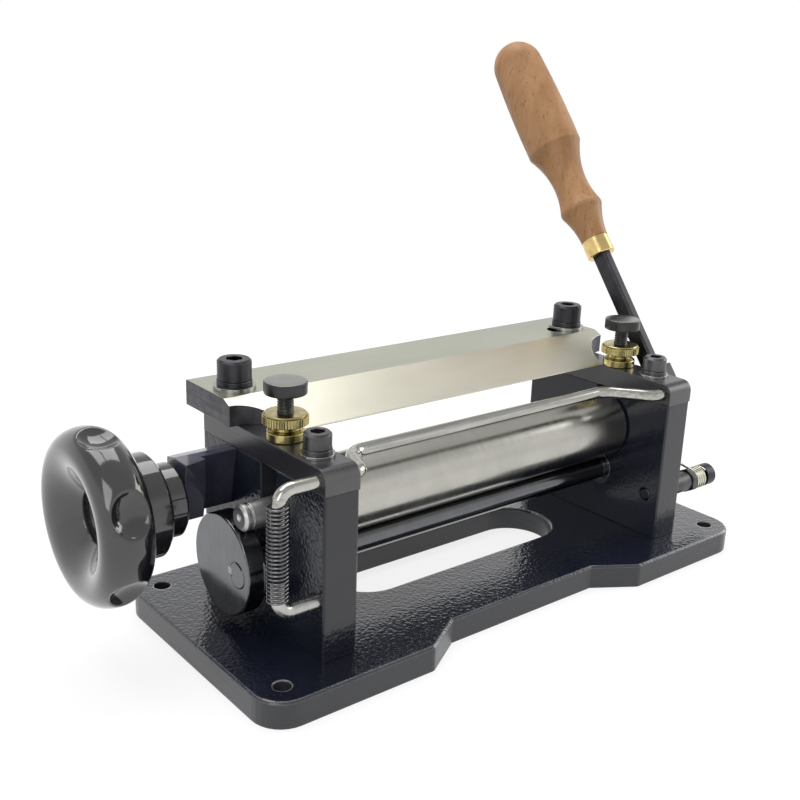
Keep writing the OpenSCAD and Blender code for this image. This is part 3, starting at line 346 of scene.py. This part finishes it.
metals = {
    "oxideScrew": {
        "colour": (0.042, 0.042, 0.047), "rough": (0.28, 0.44), "line": 0.0006, "stretch": (1, 1, 0.08),
        "depth": 0.0000040, "worn": (0.26, 0.26, 0.26), "tint": 1.5, "edge": 0.0005,
        "on": ("upright_screws", "blade_screws", "bracket_screws", "stop_post_bolt", "blade_spring_washers"),
    },
    "greyScrew": {
        "colour": (0.085, 0.083, 0.086), "rough": (0.28, 0.44), "line": 0.0006, "stretch": (1, 1, 0.08),
        "depth": 0.0000040, "worn": (0.34, 0.34, 0.34), "tint": 1.4, "edge": 0.0005,
        "on": ("cap_screws", "cap_spring_washers", "lever_arm_screw", "stop_post_nut", "stop_post_sleeve"),
    },
    "facedScrew": {
        "colour": (0.048, 0.048, 0.048), "top": (0.26, 0.26, 0.245), "rough": (0.24, 0.40), "line": 0.0006,
        "stretch": (1, 1, 0.08), "depth": 0.0000040, "worn": (0.34, 0.34, 0.33), "tint": 1.4, "edge": 0.0005,
        "on": (),
    },
    "zincWasher": {
        "colour": (0.31, 0.315, 0.305), "rough": (0.17, 0.30), "line": 0.0010, "stretch": (1, 1, 1),
        "depth": 0.0000012, "worn": (0.66, 0.66, 0.64), "tint": 1.15, "edge": 0.0003,
        "on": ("cap_washers", "blade_washers"),
    },
    # strong streak contrast on the rod: painted reflection bands over its lines
    "rodSteel": {
        "colour": (0.44, 0.435, 0.400), "rough": (0.08, 0.15), "line": 0.0012, "stretch": (0.03, 1, 1),
        "depth": 0.0000008, "worn": (0.66, 0.66, 0.62), "tint": 1.1, "edge": 0.0004, "streakAndPaintedReflection": (0.66, 1.16),
        "on": ("guard_rod",),
    },
    "turnedSteel": {
        "colour": (0.42, 0.42, 0.40), "rough": (0.20, 0.34), "line": 0.0005, "stretch": (1, 0.05, 0.05),
        "depth": 0.0000025, "worn": (0.70, 0.70, 0.68), "tint": 1.2, "edge": 0.0004,
        "on": ("spring_anchor_rod", "clamp_screw", "bearing_inner_rings", "bearing_outer_rings",
               "bearing_balls", "left_stop_pad", "right_stop_pad", "arm_spring_pin", "cam_set_screw"),
    },
    # end: the axle's end faces darker than its sides, painted shade
    "axleSteel": {
        "colour": (0.50, 0.50, 0.49), "end": (0.135, 0.135, 0.140), "rough": (0.34, 0.46), "line": 0.0005,
        "stretch": (1, 0.05, 0.05), "depth": 0.0000020, "worn": (0.66, 0.66, 0.65), "tint": 1.2,
        "edge": 0.0005, "on": ("roller_axle",),
    },
    "camSteel": {
        "colour": (0.135, 0.138, 0.146), "rough": (0.10, 0.18), "line": 0.0009, "stretch": (1, 1, 0.15),
        "depth": 0.0000018, "worn": (0.46, 0.46, 0.46), "tint": 1.12, "edge": 0.0005,
        "on": ("left_cam", "right_cam", "cam_shaft", "shaft_bushes"),
    },
    "keySteel": {
        "colour": (0.30, 0.30, 0.30), "rough": (0.20, 0.32), "line": 0.0006, "stretch": (1, 1, 0.15),
        "depth": 0.0000025, "worn": (0.60, 0.60, 0.60), "tint": 1.2, "edge": 0.0004, "on": ("cam_keys",),
    },
    "leverSteel": {
        "colour": (0.038, 0.038, 0.042), "rough": (0.26, 0.40), "line": 0.0006, "stretch": (1, 1, 0.04),
        "depth": 0.0000045, "worn": (0.26, 0.26, 0.26), "tint": 1.35, "edge": 0.0006, "turn": (37.5, 0, 0),
        "on": ("lever_arm", "lever_bar"),
    },
    "springSteel": {
        "colour": (0.150, 0.151, 0.158), "rough": (0.14, 0.26), "line": 0.0005, "stretch": (1, 1, 1),
        "depth": 0.0000030, "tint": 1.3, "edge": 0.0002, "on": (),
    },
    "paleWire": {
        "colour": (0.60, 0.60, 0.48), "rough": (0.18, 0.32), "line": 0.0005, "stretch": (1, 1, 1),
        "depth": 0.0000030, "tint": 1.2, "edge": 0.0002, "on": (),
    },
}


def plainMetal(name, s):
    # ground or turned metal: lines along one way, stains, brighter rubbed edges;
    # top is the colour of faces turned up, end a darker colour for faces turned along X, painted shade
    made, tree, shader = newFinish(name)
    rounded, edge = edges(tree, s["edge"])
    lines = noise(tree, placed(tree, s["stretch"], s.get("turn", (0, 0, 0))), s["line"], 3, 0.6)
    stains = noise(tree, placed(tree), 0.009, 5)
    colour = blendColour(tree, between(tree, stains, 0.35, 0.68), s["colour"],
                         [min(v * s["tint"], 1) for v in s["colour"]])
    if "top" in s:
        colour = blendColour(tree, between(tree, facing(tree)[2], 0.7, 0.95), colour, s["top"])
    # faces turned along X take the darker end colour: painted shade
    if "end" in s:
        sideways = calc(tree, "ABSOLUTE", facing(tree)[0])
        colour = blendColour(tree, between(tree, sideways, 0.85, 0.95), colour, s["end"])
    # shade along the lines: real grinding lines, on the rod widened into painted reflection bands
    shade = between(tree, lines, 0.2, 0.8, *s.get("streakAndPaintedReflection", (0.90, 1.06)))
    colour = blendColour(tree, 1.0, colour, greyLevel(tree, shade), "MULTIPLY")
    if "worn" in s:
        colour = blendColour(tree, rubbedEdge(tree, edge, 0.003, 0.38, 0.66, 0.75), colour, s["worn"])
    mixed = calc(tree, "ADD", calc(tree, "MULTIPLY", lines, 0.55), calc(tree, "MULTIPLY", stains, 0.45))
    feed(tree, shader, colour=colour, metal=1.0, rough=between(tree, mixed, 0.3, 0.7, *s["rough"]),
         normal=bump(tree, lines, s["depth"], rounded))
    return made


blade = {
    "top": (0.405, 0.410, 0.335), "bevel": (0.69, 0.665, 0.560), "side": (0.070, 0.067, 0.075),
    "worn": (0.34, 0.33, 0.31), "rough": (0.31, 0.38), "sideRough": (0.34, 0.5), "edge": 0.0005,
    "grind": 0.0000003,
}


def groundBlade():
    # flat top and bevel ground bright along the length, the bevel paler than the flat as a painted
    # reflection, walls left black from hardening
    made, tree, shader = newFinish("groundBlade")
    turned = facing(tree)
    rounded, edge = edges(tree, blade["edge"])
    up = between(tree, turned[2], 0.5, 0.7)
    slope = calc(tree, "MULTIPLY", up, between(tree, turned[2], 0.975, 0.94))
    edgeward = between(tree, turned[1], -0.25, -0.38)
    lines = noise(tree, placed(tree, (0.02, 1, 1)), 0.00045, 3, 0.6)
    cross = noise(tree, placed(tree, (1, 0.03, 1)), 0.0006, 3, 0.6)
    broad = noise(tree, placed(tree, (0.35, 1, 1)), 0.03, 4)
    flat = blendColour(tree, between(tree, broad, 0.3, 0.7), blade["top"], [v * 1.14 for v in blade["top"]])
    # bevel colour paler than the flat: painted reflection
    paintedBevelReflection = blendColour(tree, between(tree, broad, 0.3, 0.7), blade["bevel"],
                       [v * 1.1 for v in blade["bevel"]])
    bright = blendColour(tree, calc(tree, "MULTIPLY", slope, edgeward), flat, paintedBevelReflection)
    shade = between(tree, lines, 0.25, 0.75, 0.985, 1.010)
    bright = blendColour(tree, 1.0, bright, greyLevel(tree, shade), "MULTIPLY")
    scale = blendColour(tree, between(tree, noise(tree, placed(tree), 0.005, 5), 0.3, 0.7), blade["side"],
                        [v * 1.6 for v in blade["side"]])
    scale = blendColour(tree, calc(tree, "MULTIPLY", edge, 0.6), scale, blade["worn"])
    colour = blendColour(tree, up, scale, bright)
    smoothRough = between(tree, lines, 0.25, 0.75, *blade["rough"])
    scaleRough = between(tree, cross, 0.3, 0.7, *blade["sideRough"])
    rough = mixValue(tree, up, scaleRough, smoothRough)
    height = mixValue(tree, up, cross, lines)
    feed(tree, shader, colour=colour, metal=1.0, rough=rough,
         normal=bump(tree, height, blade["grind"], rounded))
    return made


roller = {
    "colour": (0.485, 0.475, 0.435), "rough": (0.17, 0.27), "edge": 0.0006, "wave": 0.000002,
    "hoop": 0.0000008,
}


def turnedChrome():
    # polished across its length: fine hoops round the X axis and faint handling marks
    made, tree, shader = newFinish("turnedChrome")
    rounded = edges(tree, roller["edge"])[0]
    hoops = noise(tree, placed(tree, (1, 0.02, 0.02)), 0.0006, 3, 0.6)
    wide = noise(tree, placed(tree, (1, 0.15, 0.15)), 0.008, 3)
    smear = noise(tree, placed(tree), 0.018, 4, warp=0.4)
    colour = blendColour(tree, between(tree, smear, 0.3, 0.7), roller["colour"],
                         [v * 0.9 for v in roller["colour"]])
    shade = between(tree, hoops, 0.25, 0.75, 0.98, 1.012)
    colour = blendColour(tree, 1.0, colour, greyLevel(tree, shade), "MULTIPLY")
    mixed = calc(tree, "ADD", calc(tree, "MULTIPLY", hoops, 0.5), calc(tree, "MULTIPLY", smear, 0.5))
    height = bump(tree, wide, roller["wave"], bump(tree, hoops, roller["hoop"], rounded))
    feed(tree, shader, colour=colour, metal=1.0, rough=between(tree, mixed, 0.35, 0.65, *roller["rough"]),
         normal=height)
    return made


brass = {
    "nut": (0.455, 0.388, 0.172), "ferrule": (0.74, 0.54, 0.235), "dark": (0.20, 0.155, 0.062),
    "rough": (0.17, 0.32), "edge": 0.0003, "lines": 0.0000011, "hollow": 0.0016,
}


def tarnishedBrass(name, main, stretch, turn=(0, 0, 0)):
    # turned brass: tarnish in patches and in the hollows, brighter edges
    made, tree, shader = newFinish(name)
    rounded, edge = edges(tree, brass["edge"])
    lines = noise(tree, placed(tree, stretch, turn), 0.0004, 3, 0.6)
    tarnish = noise(tree, placed(tree), 0.0045, 5)
    colour = blendColour(tree, between(tree, tarnish, 0.42, 0.72), main, [v * 0.74 for v in main])
    hollow = addNode(tree, "ShaderNodeAmbientOcclusion", {"Distance": brass["hollow"]}, samples=4,
                     only_local=True).outputs["AO"]
    colour = blendColour(tree, between(tree, hollow, 0.75, 0.35, 0.0, 0.8), colour, brass["dark"])
    colour = blendColour(tree, calc(tree, "MULTIPLY", edge, 0.5), colour, [min(v * 1.45, 0.9) for v in main])
    mixed = calc(tree, "ADD", calc(tree, "MULTIPLY", lines, 0.2), calc(tree, "MULTIPLY", tarnish, 0.8))
    feed(tree, shader, colour=colour, metal=1.0, rough=between(tree, mixed, 0.3, 0.7, *brass["rough"]),
         normal=bump(tree, lines, brass["lines"], rounded))
    return made


# wood

beech = {
    "pale": (0.525, 0.292, 0.145), "mid": (0.425, 0.222, 0.103), "dark": (0.27, 0.130, 0.058),
    "lean": 37.5, "rough": (0.36, 0.50), "fleck": 0.0011, "edge": 0.0007, "pores": 0.000022,
}


def oiledBeech():
    # straight grain along the handle, soft year bands and short darker flecks
    made, tree, shader = newFinish("oiledBeech")
    turn = (beech["lean"], 0, 0)
    bands = noise(tree, placed(tree, (1, 0.55, 0.045), turn), 0.0045, 4, 0.6, 0.25)
    fibre = noise(tree, placed(tree, (1, 1, 0.03), turn), 0.00042, 4, 0.65)
    fleck = noise(tree, placed(tree, (1, 0.7, 0.16), turn), beech["fleck"], 2, 0.5)
    cloud = noise(tree, placed(tree, (1, 1, 0.4), turn), 0.02, 3)
    rounded = edges(tree, beech["edge"])[0]
    colour = blendColour(tree, between(tree, bands, 0.32, 0.68), beech["pale"], beech["mid"])
    flecked = calc(tree, "MULTIPLY", between(tree, fleck, 0.585, 0.70), 0.55)
    colour = blendColour(tree, flecked, colour, beech["dark"])
    shade = calc(tree, "MULTIPLY", between(tree, fibre, 0.2, 0.8, 0.88, 1.07),
                 between(tree, cloud, 0.3, 0.7, 0.93, 1.06))
    colour = blendColour(tree, 1.0, colour, greyLevel(tree, shade), "MULTIPLY")
    height = calc(tree, "SUBTRACT", fibre, calc(tree, "MULTIPLY", between(tree, fleck, 0.58, 0.7), 0.5))
    feed(tree, shader, colour=colour, rough=between(tree, bands, 0.3, 0.7, *beech["rough"]), specular=0.22,
         normal=bump(tree, height, beech["pores"], rounded))
    return made


dress(wrinklePaint(), "base_plate")
dress(uprightPaint(), "left_upright", "right_upright")
dress(satinBlack(), "left_cap", "right_cap")
dress(glossPaint(), "clamp_bracket")
plasticWheel = polishedBakelite("polishedBakelite", bakelite["wheel"], bakelite["wheelRough"])
dress(plasticWheel, "handwheel", "handwheel_collar")
# the hub cap is paler than the wheel: painted reflection
dress(polishedBakelite("capPlastic", bakelite["cap"], bakelite["capRough"]), "handwheel_cap")
dress(groundBlade(), "splitting_blade")
dress(turnedChrome(), "roller_tube")
dress(oiledBeech(), "lever_handle")
metalFinish = {name: plainMetal(name, settings) for name, settings in metals.items()}
for name, settings in metals.items():
    dress(metalFinish[name], *settings["on"])
dress(tarnishedBrass("brassNut", brass["nut"], (1, 1, 0.08)),
      "left_knurled_nut", "right_knurled_nut", "clamp_pad")
dress(tarnishedBrass("brassFerrule", brass["ferrule"], (0.08, 0.08, 1), (beech["lean"], 0, 0)),
      "handle_ferrule")
print("finishes made:", len(bpy.data.materials))


# shapes

creaseAngle = math.radians(42)


def meshPiece(name, points, faces, finish):
    # smooth shaded mesh, turned right side out by the sign of its volume
    mesh = bpy.data.meshes.new(name)
    mesh.from_pydata(points.tolist(), [], faces)
    mesh.validate()
    mesh.calc_loop_triangles()
    corners = np.zeros(len(mesh.loop_triangles) * 3, int)
    mesh.loop_triangles.foreach_get("vertices", corners)
    a, b, c = points[corners.reshape(-1, 3)].transpose(1, 0, 2)
    if (a * np.cross(b, c)).sum() < 0:
        mesh.flip_normals()
    mesh.polygons.foreach_set("use_smooth", np.full(len(mesh.polygons), True))
    mesh.materials.append(finish)
    made = bpy.data.objects.new(name, mesh)
    scene.collection.objects.link(made)
    return made


def gridFaces(rows, columns, looped=False):
    # quads between neighbouring rows of points, each row closed into a ring, and the rows too if looped
    row = np.arange(rows if looped else rows - 1)[:, None]
    here = np.arange(columns)[None, :]
    after = (here + 1) % columns
    below, above = row * columns, (row + 1) % rows * columns
    return np.stack([below + here, below + after, above + after, above + here], -1).reshape(-1, 4).tolist()


def sharpen(made):
    sharp = made.modifiers.new("creases", "EDGE_SPLIT")
    sharp.split_angle = creaseAngle


def wire(name, path, thick, pole, finish, sides=14, tip=5):
    # round wire: a circle carried along the path, square to it, with rounded ends;
    # one side of the circle points along the path's direction crossed with the pole
    step = np.gradient(path, axis=0)
    ahead = step / np.linalg.norm(step, axis=1)[:, None]
    radius = thick / 2
    lean = np.linspace(0, math.pi / 2, tip)
    capIn = path[0] - ahead[0] * (radius * np.cos(lean[:-1])[:, None])
    capOut = path[-1] + ahead[-1] * (radius * np.sin(lean[1:])[:, None])
    axis = np.vstack([capIn, path, capOut])
    along = np.vstack([np.repeat(ahead[:1], tip - 1, 0), ahead, np.repeat(ahead[-1:], tip - 1, 0)])
    size = np.concatenate([radius * np.sin(lean[:-1]), np.full(len(path), radius), radius * np.cos(lean[1:])])
    size = np.maximum(size, radius * 0.02)
    side = np.cross(along, pole)
    side /= np.linalg.norm(side, axis=1)[:, None]
    up = np.cross(side, along)
    angle = np.linspace(0, 2 * math.pi, sides, endpoint=False)
    ring = np.cos(angle)[None, :, None] * side[:, None, :] + np.sin(angle)[None, :, None] * up[:, None, :]
    points = (axis[:, None, :] + size[:, None, None] * ring).reshape(-1, 3)
    rows = len(axis)
    faces = gridFaces(rows, sides)
    faces.append(list(range(sides))[::-1])
    faces.append([(rows - 1) * sides + k for k in range(sides)])
    return meshPiece(name, points, faces, finish)


guardCoil = {"x": -0.1122, "y": -0.0364, "low": 0.0369, "high": 0.0725, "inside": 0.00305, "wire": 0.00085,
             "turns": 24, "perTurn": 28}
stopCoil = {"y": -0.0331, "z": 0.0292, "start": 0.1149, "wire": 0.0012, "radius": 0.0045, "turns": 4,
            "pitch": 0.0016, "perTurn": 32, "past": 0.003, "tail": 0.002, "under": 0.0003,
            "legRows": 24, "tailRows": 4}


def guardSpring():
    # helix: angle and height grow together round an upright axis, from the lower rod to the guard rod
    s = guardCoil
    reach = s["inside"] + s["wire"] / 2
    count = s["turns"] * s["perTurn"]
    share = np.linspace(0, 1, count + 1)
    angle = share * s["turns"] * 2 * math.pi
    low, high = s["low"] + s["wire"] / 2, s["high"] - s["wire"] / 2
    coil = np.stack([s["x"] + reach * np.cos(angle), s["y"] + reach * np.sin(angle),
                     low + (high - low) * share], -1)
    made = wire("guardCoilSpring", coil, s["wire"], (0.0, 0.0, 1.0), metalFinish["springSteel"])
    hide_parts("guard_spring")
    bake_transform(made)


def leverSpring():
    # helix round the post after a straight leg, the coil's tangent that passes just under the lever's pin
    s = stopCoil
    pinLow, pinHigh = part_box("arm_spring_pin")
    radius = s["radius"]
    toPin = np.array([(pinLow.y + pinHigh.y) / 2 - s["y"], (pinLow.z + pinHigh.z) / 2 - s["z"]])
    far = np.linalg.norm(toPin)
    under = radius + s["wire"] / 2 + (pinHigh.z - pinLow.z) / 2 + s["under"]
    lean = math.atan2(toPin[1], toPin[0]) - math.asin(under / far)
    start = lean + math.pi / 2
    direction = np.array([math.cos(lean), math.sin(lean)])
    foot = radius * np.array([math.cos(start), math.sin(start)])
    legAlong = np.linspace(far + s["past"], 0.0006, s["legRows"])
    leg = np.column_stack([np.full(s["legRows"], s["start"]), foot[0] + direction[0] * legAlong,
                           foot[1] + direction[1] * legAlong])
    angle = start + np.linspace(0, s["turns"] * 2 * math.pi, s["turns"] * s["perTurn"] + 1)
    turn = np.column_stack([s["start"] + s["pitch"] * (angle - start) / (2 * math.pi), radius * np.cos(angle),
                            radius * np.sin(angle)])
    tailAlong = np.linspace(0.0004, s["tail"], s["tailRows"])
    tail = np.column_stack([np.full(s["tailRows"], turn[-1, 0]), foot[0] - direction[0] * tailAlong,
                            foot[1] - direction[1] * tailAlong])
    path = np.vstack([leg, turn, tail]) + np.array([0, s["y"], s["z"]])
    made = wire("leverCoilSpring", path, s["wire"], (1.0, 0.0, 0.0), metalFinish["paleWire"])
    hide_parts("torsion_spring")
    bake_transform(made)


stopScrew = {
    "thread": 0.003, "pitch": 0.001, "depth": 0.00042, "runOut": 0.0006, "lead": 0.0004,
    "headRadius": 0.00775, "headThick": 0.0046, "edge": 0.0004, "sides": 48, "perPitch": 10,
}


def stopScrewPiece(name, node, body):
    # threaded shank: the radius follows a triangle wave in height over pitch less angle over a full turn
    s = stopScrew
    low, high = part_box(node)
    x, y = (low.x + high.x) / 2, (low.y + high.y) / 2
    headLow = high.z - s["headThick"]
    rows = int((headLow - low.z) / s["pitch"] * s["perPitch"])
    z = np.linspace(low.z, headLow, rows)
    angle = np.linspace(0, 2 * math.pi, s["sides"], endpoint=False)
    phase = (z[:, None] / s["pitch"] - angle[None, :] / (2 * math.pi)) % 1.0
    cut = np.clip(np.abs(phase - 0.5) * 2.3 - 0.15, 0, 1)
    lead = np.clip((z - low.z) / s["lead"], 0, 1)[:, None]
    fade = np.clip((headLow - z) / s["runOut"], 0, 1)[:, None] * lead
    radius = s["thread"] - s["depth"] * (cut * fade + 1 - lead)
    shank = np.stack([radius * np.cos(angle), radius * np.sin(angle),
                      np.broadcast_to(z[:, None], radius.shape)], -1)
    turnRing = np.stack([np.cos(angle), np.sin(angle)], -1)
    bend = np.linspace(0, math.pi / 2, 5)
    outer, edge = s["headRadius"], s["edge"]
    head = [(outer * 0.55, headLow)]
    head += [(outer - edge + edge * math.sin(b), headLow + edge - edge * math.cos(b)) for b in bend]
    head += [(outer - edge + edge * math.cos(b), high.z - edge + edge * math.sin(b)) for b in bend]
    head += [(outer * 0.5, high.z - 0.00005), (0.00002, high.z - 0.00008)]
    head = np.array(head)
    heights = np.broadcast_to(head[:, None, 1, None], (len(head), len(angle), 1))
    headRings = np.concatenate([head[:, None, 0, None] * turnRing[None], heights], -1)
    points = np.concatenate([shank, headRings]).reshape(-1, 3) + np.array([x, y, 0])
    total = rows + len(head)
    faces = gridFaces(total, s["sides"])
    faces.append(list(range(s["sides"]))[::-1])
    faces.append([(total - 1) * s["sides"] + k for k in range(s["sides"])])
    made = meshPiece(name, points, faces, metalFinish["facedScrew"])
    sharpen(made)
    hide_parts(node)
    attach(made, body)


wheel = {
    "radius": 0.032, "rim": 0.0075, "thick": 0.019, "dish": 0.008, "dishStart": 0.010, "seat": 0.0117,
    "recess": 0.0095, "bore": 0.00402, "hub": 0.0192, "hubEdge": 0.0012, "hollows": 6,
    "hollowRadius": 0.0115, "hollowOut": 0.0072, "hollowTurn": -111, "soft": 0.0009, "sides": 384,
}


def handwheelPiece():
    # closed outline turned about X: a quarter sine for the dish, a half ellipse for the rim, a stepped hub;
    # points inside the spheres round the rim move out along their radii to the sphere, eased at its edge
    s = wheel
    low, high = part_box("handwheel")
    capLow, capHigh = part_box("handwheel_cap")
    y, z = (capLow.y + capHigh.y) / 2, (capLow.z + capHigh.z) / 2
    back = high.x - low.x
    ridge = s["radius"] - s["rim"]
    share = np.linspace(0, 1, 30)
    face = np.stack([s["dishStart"] + (ridge - s["dishStart"]) * share,
                     s["dish"] * (1 - np.sin(share * math.pi / 2))], -1)
    lean = np.linspace(math.pi / 2, -math.pi / 2, 52)[1:]
    rim = np.stack([ridge + s["rim"] * np.cos(lean), s["thick"] / 2 * (1 - np.sin(lean))], -1)
    start = [(s["bore"], s["seat"]), (s["recess"], s["seat"]), (s["recess"], s["dish"] + 0.0006),
             (s["recess"] + 0.0002, s["dish"] + 0.0002)]
    end = [(s["hub"] + 0.0024, s["thick"] - 0.0006), (s["hub"], s["thick"] - 0.0015),
           (s["hub"], back - s["hubEdge"]), (s["hub"] - s["hubEdge"], back), (s["bore"], back)]
    outline = np.vstack([start, face, rim, end])
    angle = np.linspace(0, 2 * math.pi, s["sides"], endpoint=False)
    points = np.stack([np.broadcast_to(outline[:, None, 1], (len(outline), len(angle))),
                       outline[:, None, 0] * np.sin(angle), -outline[:, None, 0] * np.cos(angle)], -1)
    for k in range(s["hollows"]):
        turn = math.radians(360 * k / s["hollows"] + s["hollowTurn"])
        out = s["radius"] + s["hollowOut"]
        middle = np.array([s["thick"] / 2, out * math.sin(turn), -out * math.cos(turn)])
        away = points - middle
        far = np.linalg.norm(away, axis=-1, keepdims=True)
        ease = np.clip(0.5 + 0.5 * (far - s["hollowRadius"]) / s["soft"], 0, 1)
        wide = s["hollowRadius"] * (1 - ease) + far * ease + s["soft"] * ease * (1 - ease)
        points = middle + away / far * wide
    points = points.reshape(-1, 3) + np.array([low.x, y, z])
    faces = gridFaces(len(outline), s["sides"], looped=True)
    made = meshPiece("handwheelTurned", points, faces, plasticWheel)
    sharpen(made)
    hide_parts("handwheel")
    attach(made, "wheel")


handwheelPiece()
guardSpring()
leverSpring()
stopScrewPiece("leftStopScrewTurned", "left_stop_screw", "left_stop")
stopScrewPiece("rightStopScrewTurned", "right_stop_screw", "right_stop")
print("wound and threaded pieces made")


# stage, lamps, camera

stage = {"radius": 0.95, "fadeFrom": 0.42, "pale": (0.26, 0.26, 0.26), "glow": 0.80, "drop": 0.0002,
         "rings": 12, "sides": 96}
lamps = {
    "leftPane": {"place": (-0.38, 0.30, 0.95), "aim": (-0.38, 0.05, 0.05), "size": (0.36, 0.6), "power": 2.1},
    "rightPane": {"place": (0.14, 0.30, 0.95), "aim": (0.14, 0.05, 0.05), "size": (0.6, 0.6), "power": 3.4},
    "rightSoftbox": {"place": (0.98, -0.28, 0.42), "aim": (0, 0, 0.10), "size": (0.55, 0.55), "power": 3.0},
    "leftSoftbox": {"place": (-0.80, -0.45, 0.60), "aim": (0, 0, 0.05), "size": (0.45, 0.6), "power": 2.0},
}
room = {"white": 1.0, "upper": 0.62, "spread": 0.52}
cameraView = {"place": (-0.2856, -0.3095, 0.2122), "yaw": 39.20, "pitch": 17.76, "roll": 2.04,
              "lens": 48.6045}


def seenRay(tree):
    # 1 for rays from the camera and for those that metal or glass sends on
    path = addNode(tree, "ShaderNodeLightPath").outputs
    return calc(tree, "MAXIMUM", calc(tree, "MAXIMUM", path["Is Camera Ray"], path["Is Glossy Ray"]),
                path["Is Transmission Ray"])


def makeFloor():
    # a pale disc that fades out into the white room, made of rings round a small middle face
    rings, sides = stage["rings"], stage["sides"]
    turns = np.linspace(0, 2 * math.pi, sides, endpoint=False)
    ringSizes = np.linspace(0.02, 1, rings) * stage["radius"]
    points = np.stack([ringSizes[:, None] * np.cos(turns), ringSizes[:, None] * np.sin(turns),
                       np.full((rings, sides), -stage["drop"])], -1).reshape(-1, 3)
    faces = [face[::-1] for face in gridFaces(rings, sides)]
    faces.append(list(range(sides)))
    finish = bpy.data.materials.new("paleFloor")
    finish.use_nodes = True
    tree = finish.node_tree
    tree.nodes.clear()
    place = position(tree)
    out = calc(tree, "SQRT", calc(tree, "ADD", calc(tree, "MULTIPLY", place[0], place[0]),
               calc(tree, "MULTIPLY", place[1], place[1])))
    gone = between(tree, out, stage["fadeFrom"], stage["radius"] * 0.98)
    seen = seenRay(tree)
    cloth = addNode(tree, "ShaderNodeBsdfDiffuse", {"Color": (*stage["pale"], 1)}).outputs[0]
    strength = calc(tree, "MULTIPLY", seen, stage["glow"])
    glow = addNode(tree, "ShaderNodeEmission", {"Strength": strength}).outputs[0]
    both = addNode(tree, "ShaderNodeAddShader", {0: cloth, 1: glow}).outputs[0]
    clear = addNode(tree, "ShaderNodeBsdfTransparent").outputs[0]
    last = addNode(tree, "ShaderNodeMixShader", {0: gone, 1: both, 2: clear}).outputs[0]
    addNode(tree, "ShaderNodeOutputMaterial", {0: last})
    made = meshPiece("floor", points, faces, finish)


def makeRoom():
    # white round the horizon and below, greyer overhead; the part that lights the object is plain
    world = bpy.data.worlds.new("studio")
    scene.world = world
    world.use_nodes = True
    tree = world.node_tree
    tree.nodes.clear()
    direction = addNode(tree, "ShaderNodeTexCoord").outputs["Generated"]
    height = addNode(tree, "ShaderNodeSeparateXYZ", {0: direction}).outputs[2]
    level = between(tree, height, 0.30, 0.62, room["white"], room["upper"])
    seen = seenRay(tree)
    strength = mixValue(tree, seen, room["spread"], level)
    shown = addNode(tree, "ShaderNodeBackground", {"Color": (1, 1, 1, 1), "Strength": strength}).outputs[0]
    addNode(tree, "ShaderNodeOutputWorld", {0: shown})


def makeLamp(name, s):
    light = bpy.data.lights.new(name, "AREA")
    light.shape = "RECTANGLE"
    light.size, light.size_y = s["size"]
    light.energy = s["power"]
    made = bpy.data.objects.new(name, light)
    made.location = s["place"]
    made.rotation_euler = (Vector(s["aim"]) - Vector(s["place"])).to_track_quat("-Z", "Y").to_euler()
    scene.collection.objects.link(made)


def makeCamera():
    # looks along yaw from +Y towards +X, tipped down by pitch, then rolled about its own axis
    yaw, pitch, roll = (math.radians(cameraView[k]) for k in ("yaw", "pitch", "roll"))
    ahead = Vector((math.sin(yaw) * math.cos(pitch), math.cos(yaw) * math.cos(pitch), -math.sin(pitch)))
    right = ahead.cross(Vector((0, 0, 1))).normalized()
    up = right.cross(ahead)
    right, up = (math.cos(roll) * right + math.sin(roll) * up,
                 -math.sin(roll) * right + math.cos(roll) * up)
    turned = Matrix((right, up, -ahead)).transposed().to_4x4()
    turned.translation = Vector(cameraView["place"])
    data = bpy.data.cameras.new("photoCamera")
    data.lens = cameraView["lens"]
    data.clip_start, data.clip_end = 0.01, 20
    made = bpy.data.objects.new("photoCamera", data)
    made.matrix_world = turned
    scene.collection.objects.link(made)
    scene.camera = made


makeFloor()
makeRoom()
for lampName, lampSettings in lamps.items():
    makeLamp(lampName, lampSettings)
makeCamera()
scene.view_settings.view_transform = "Standard"
print("stage, lamps and camera set")
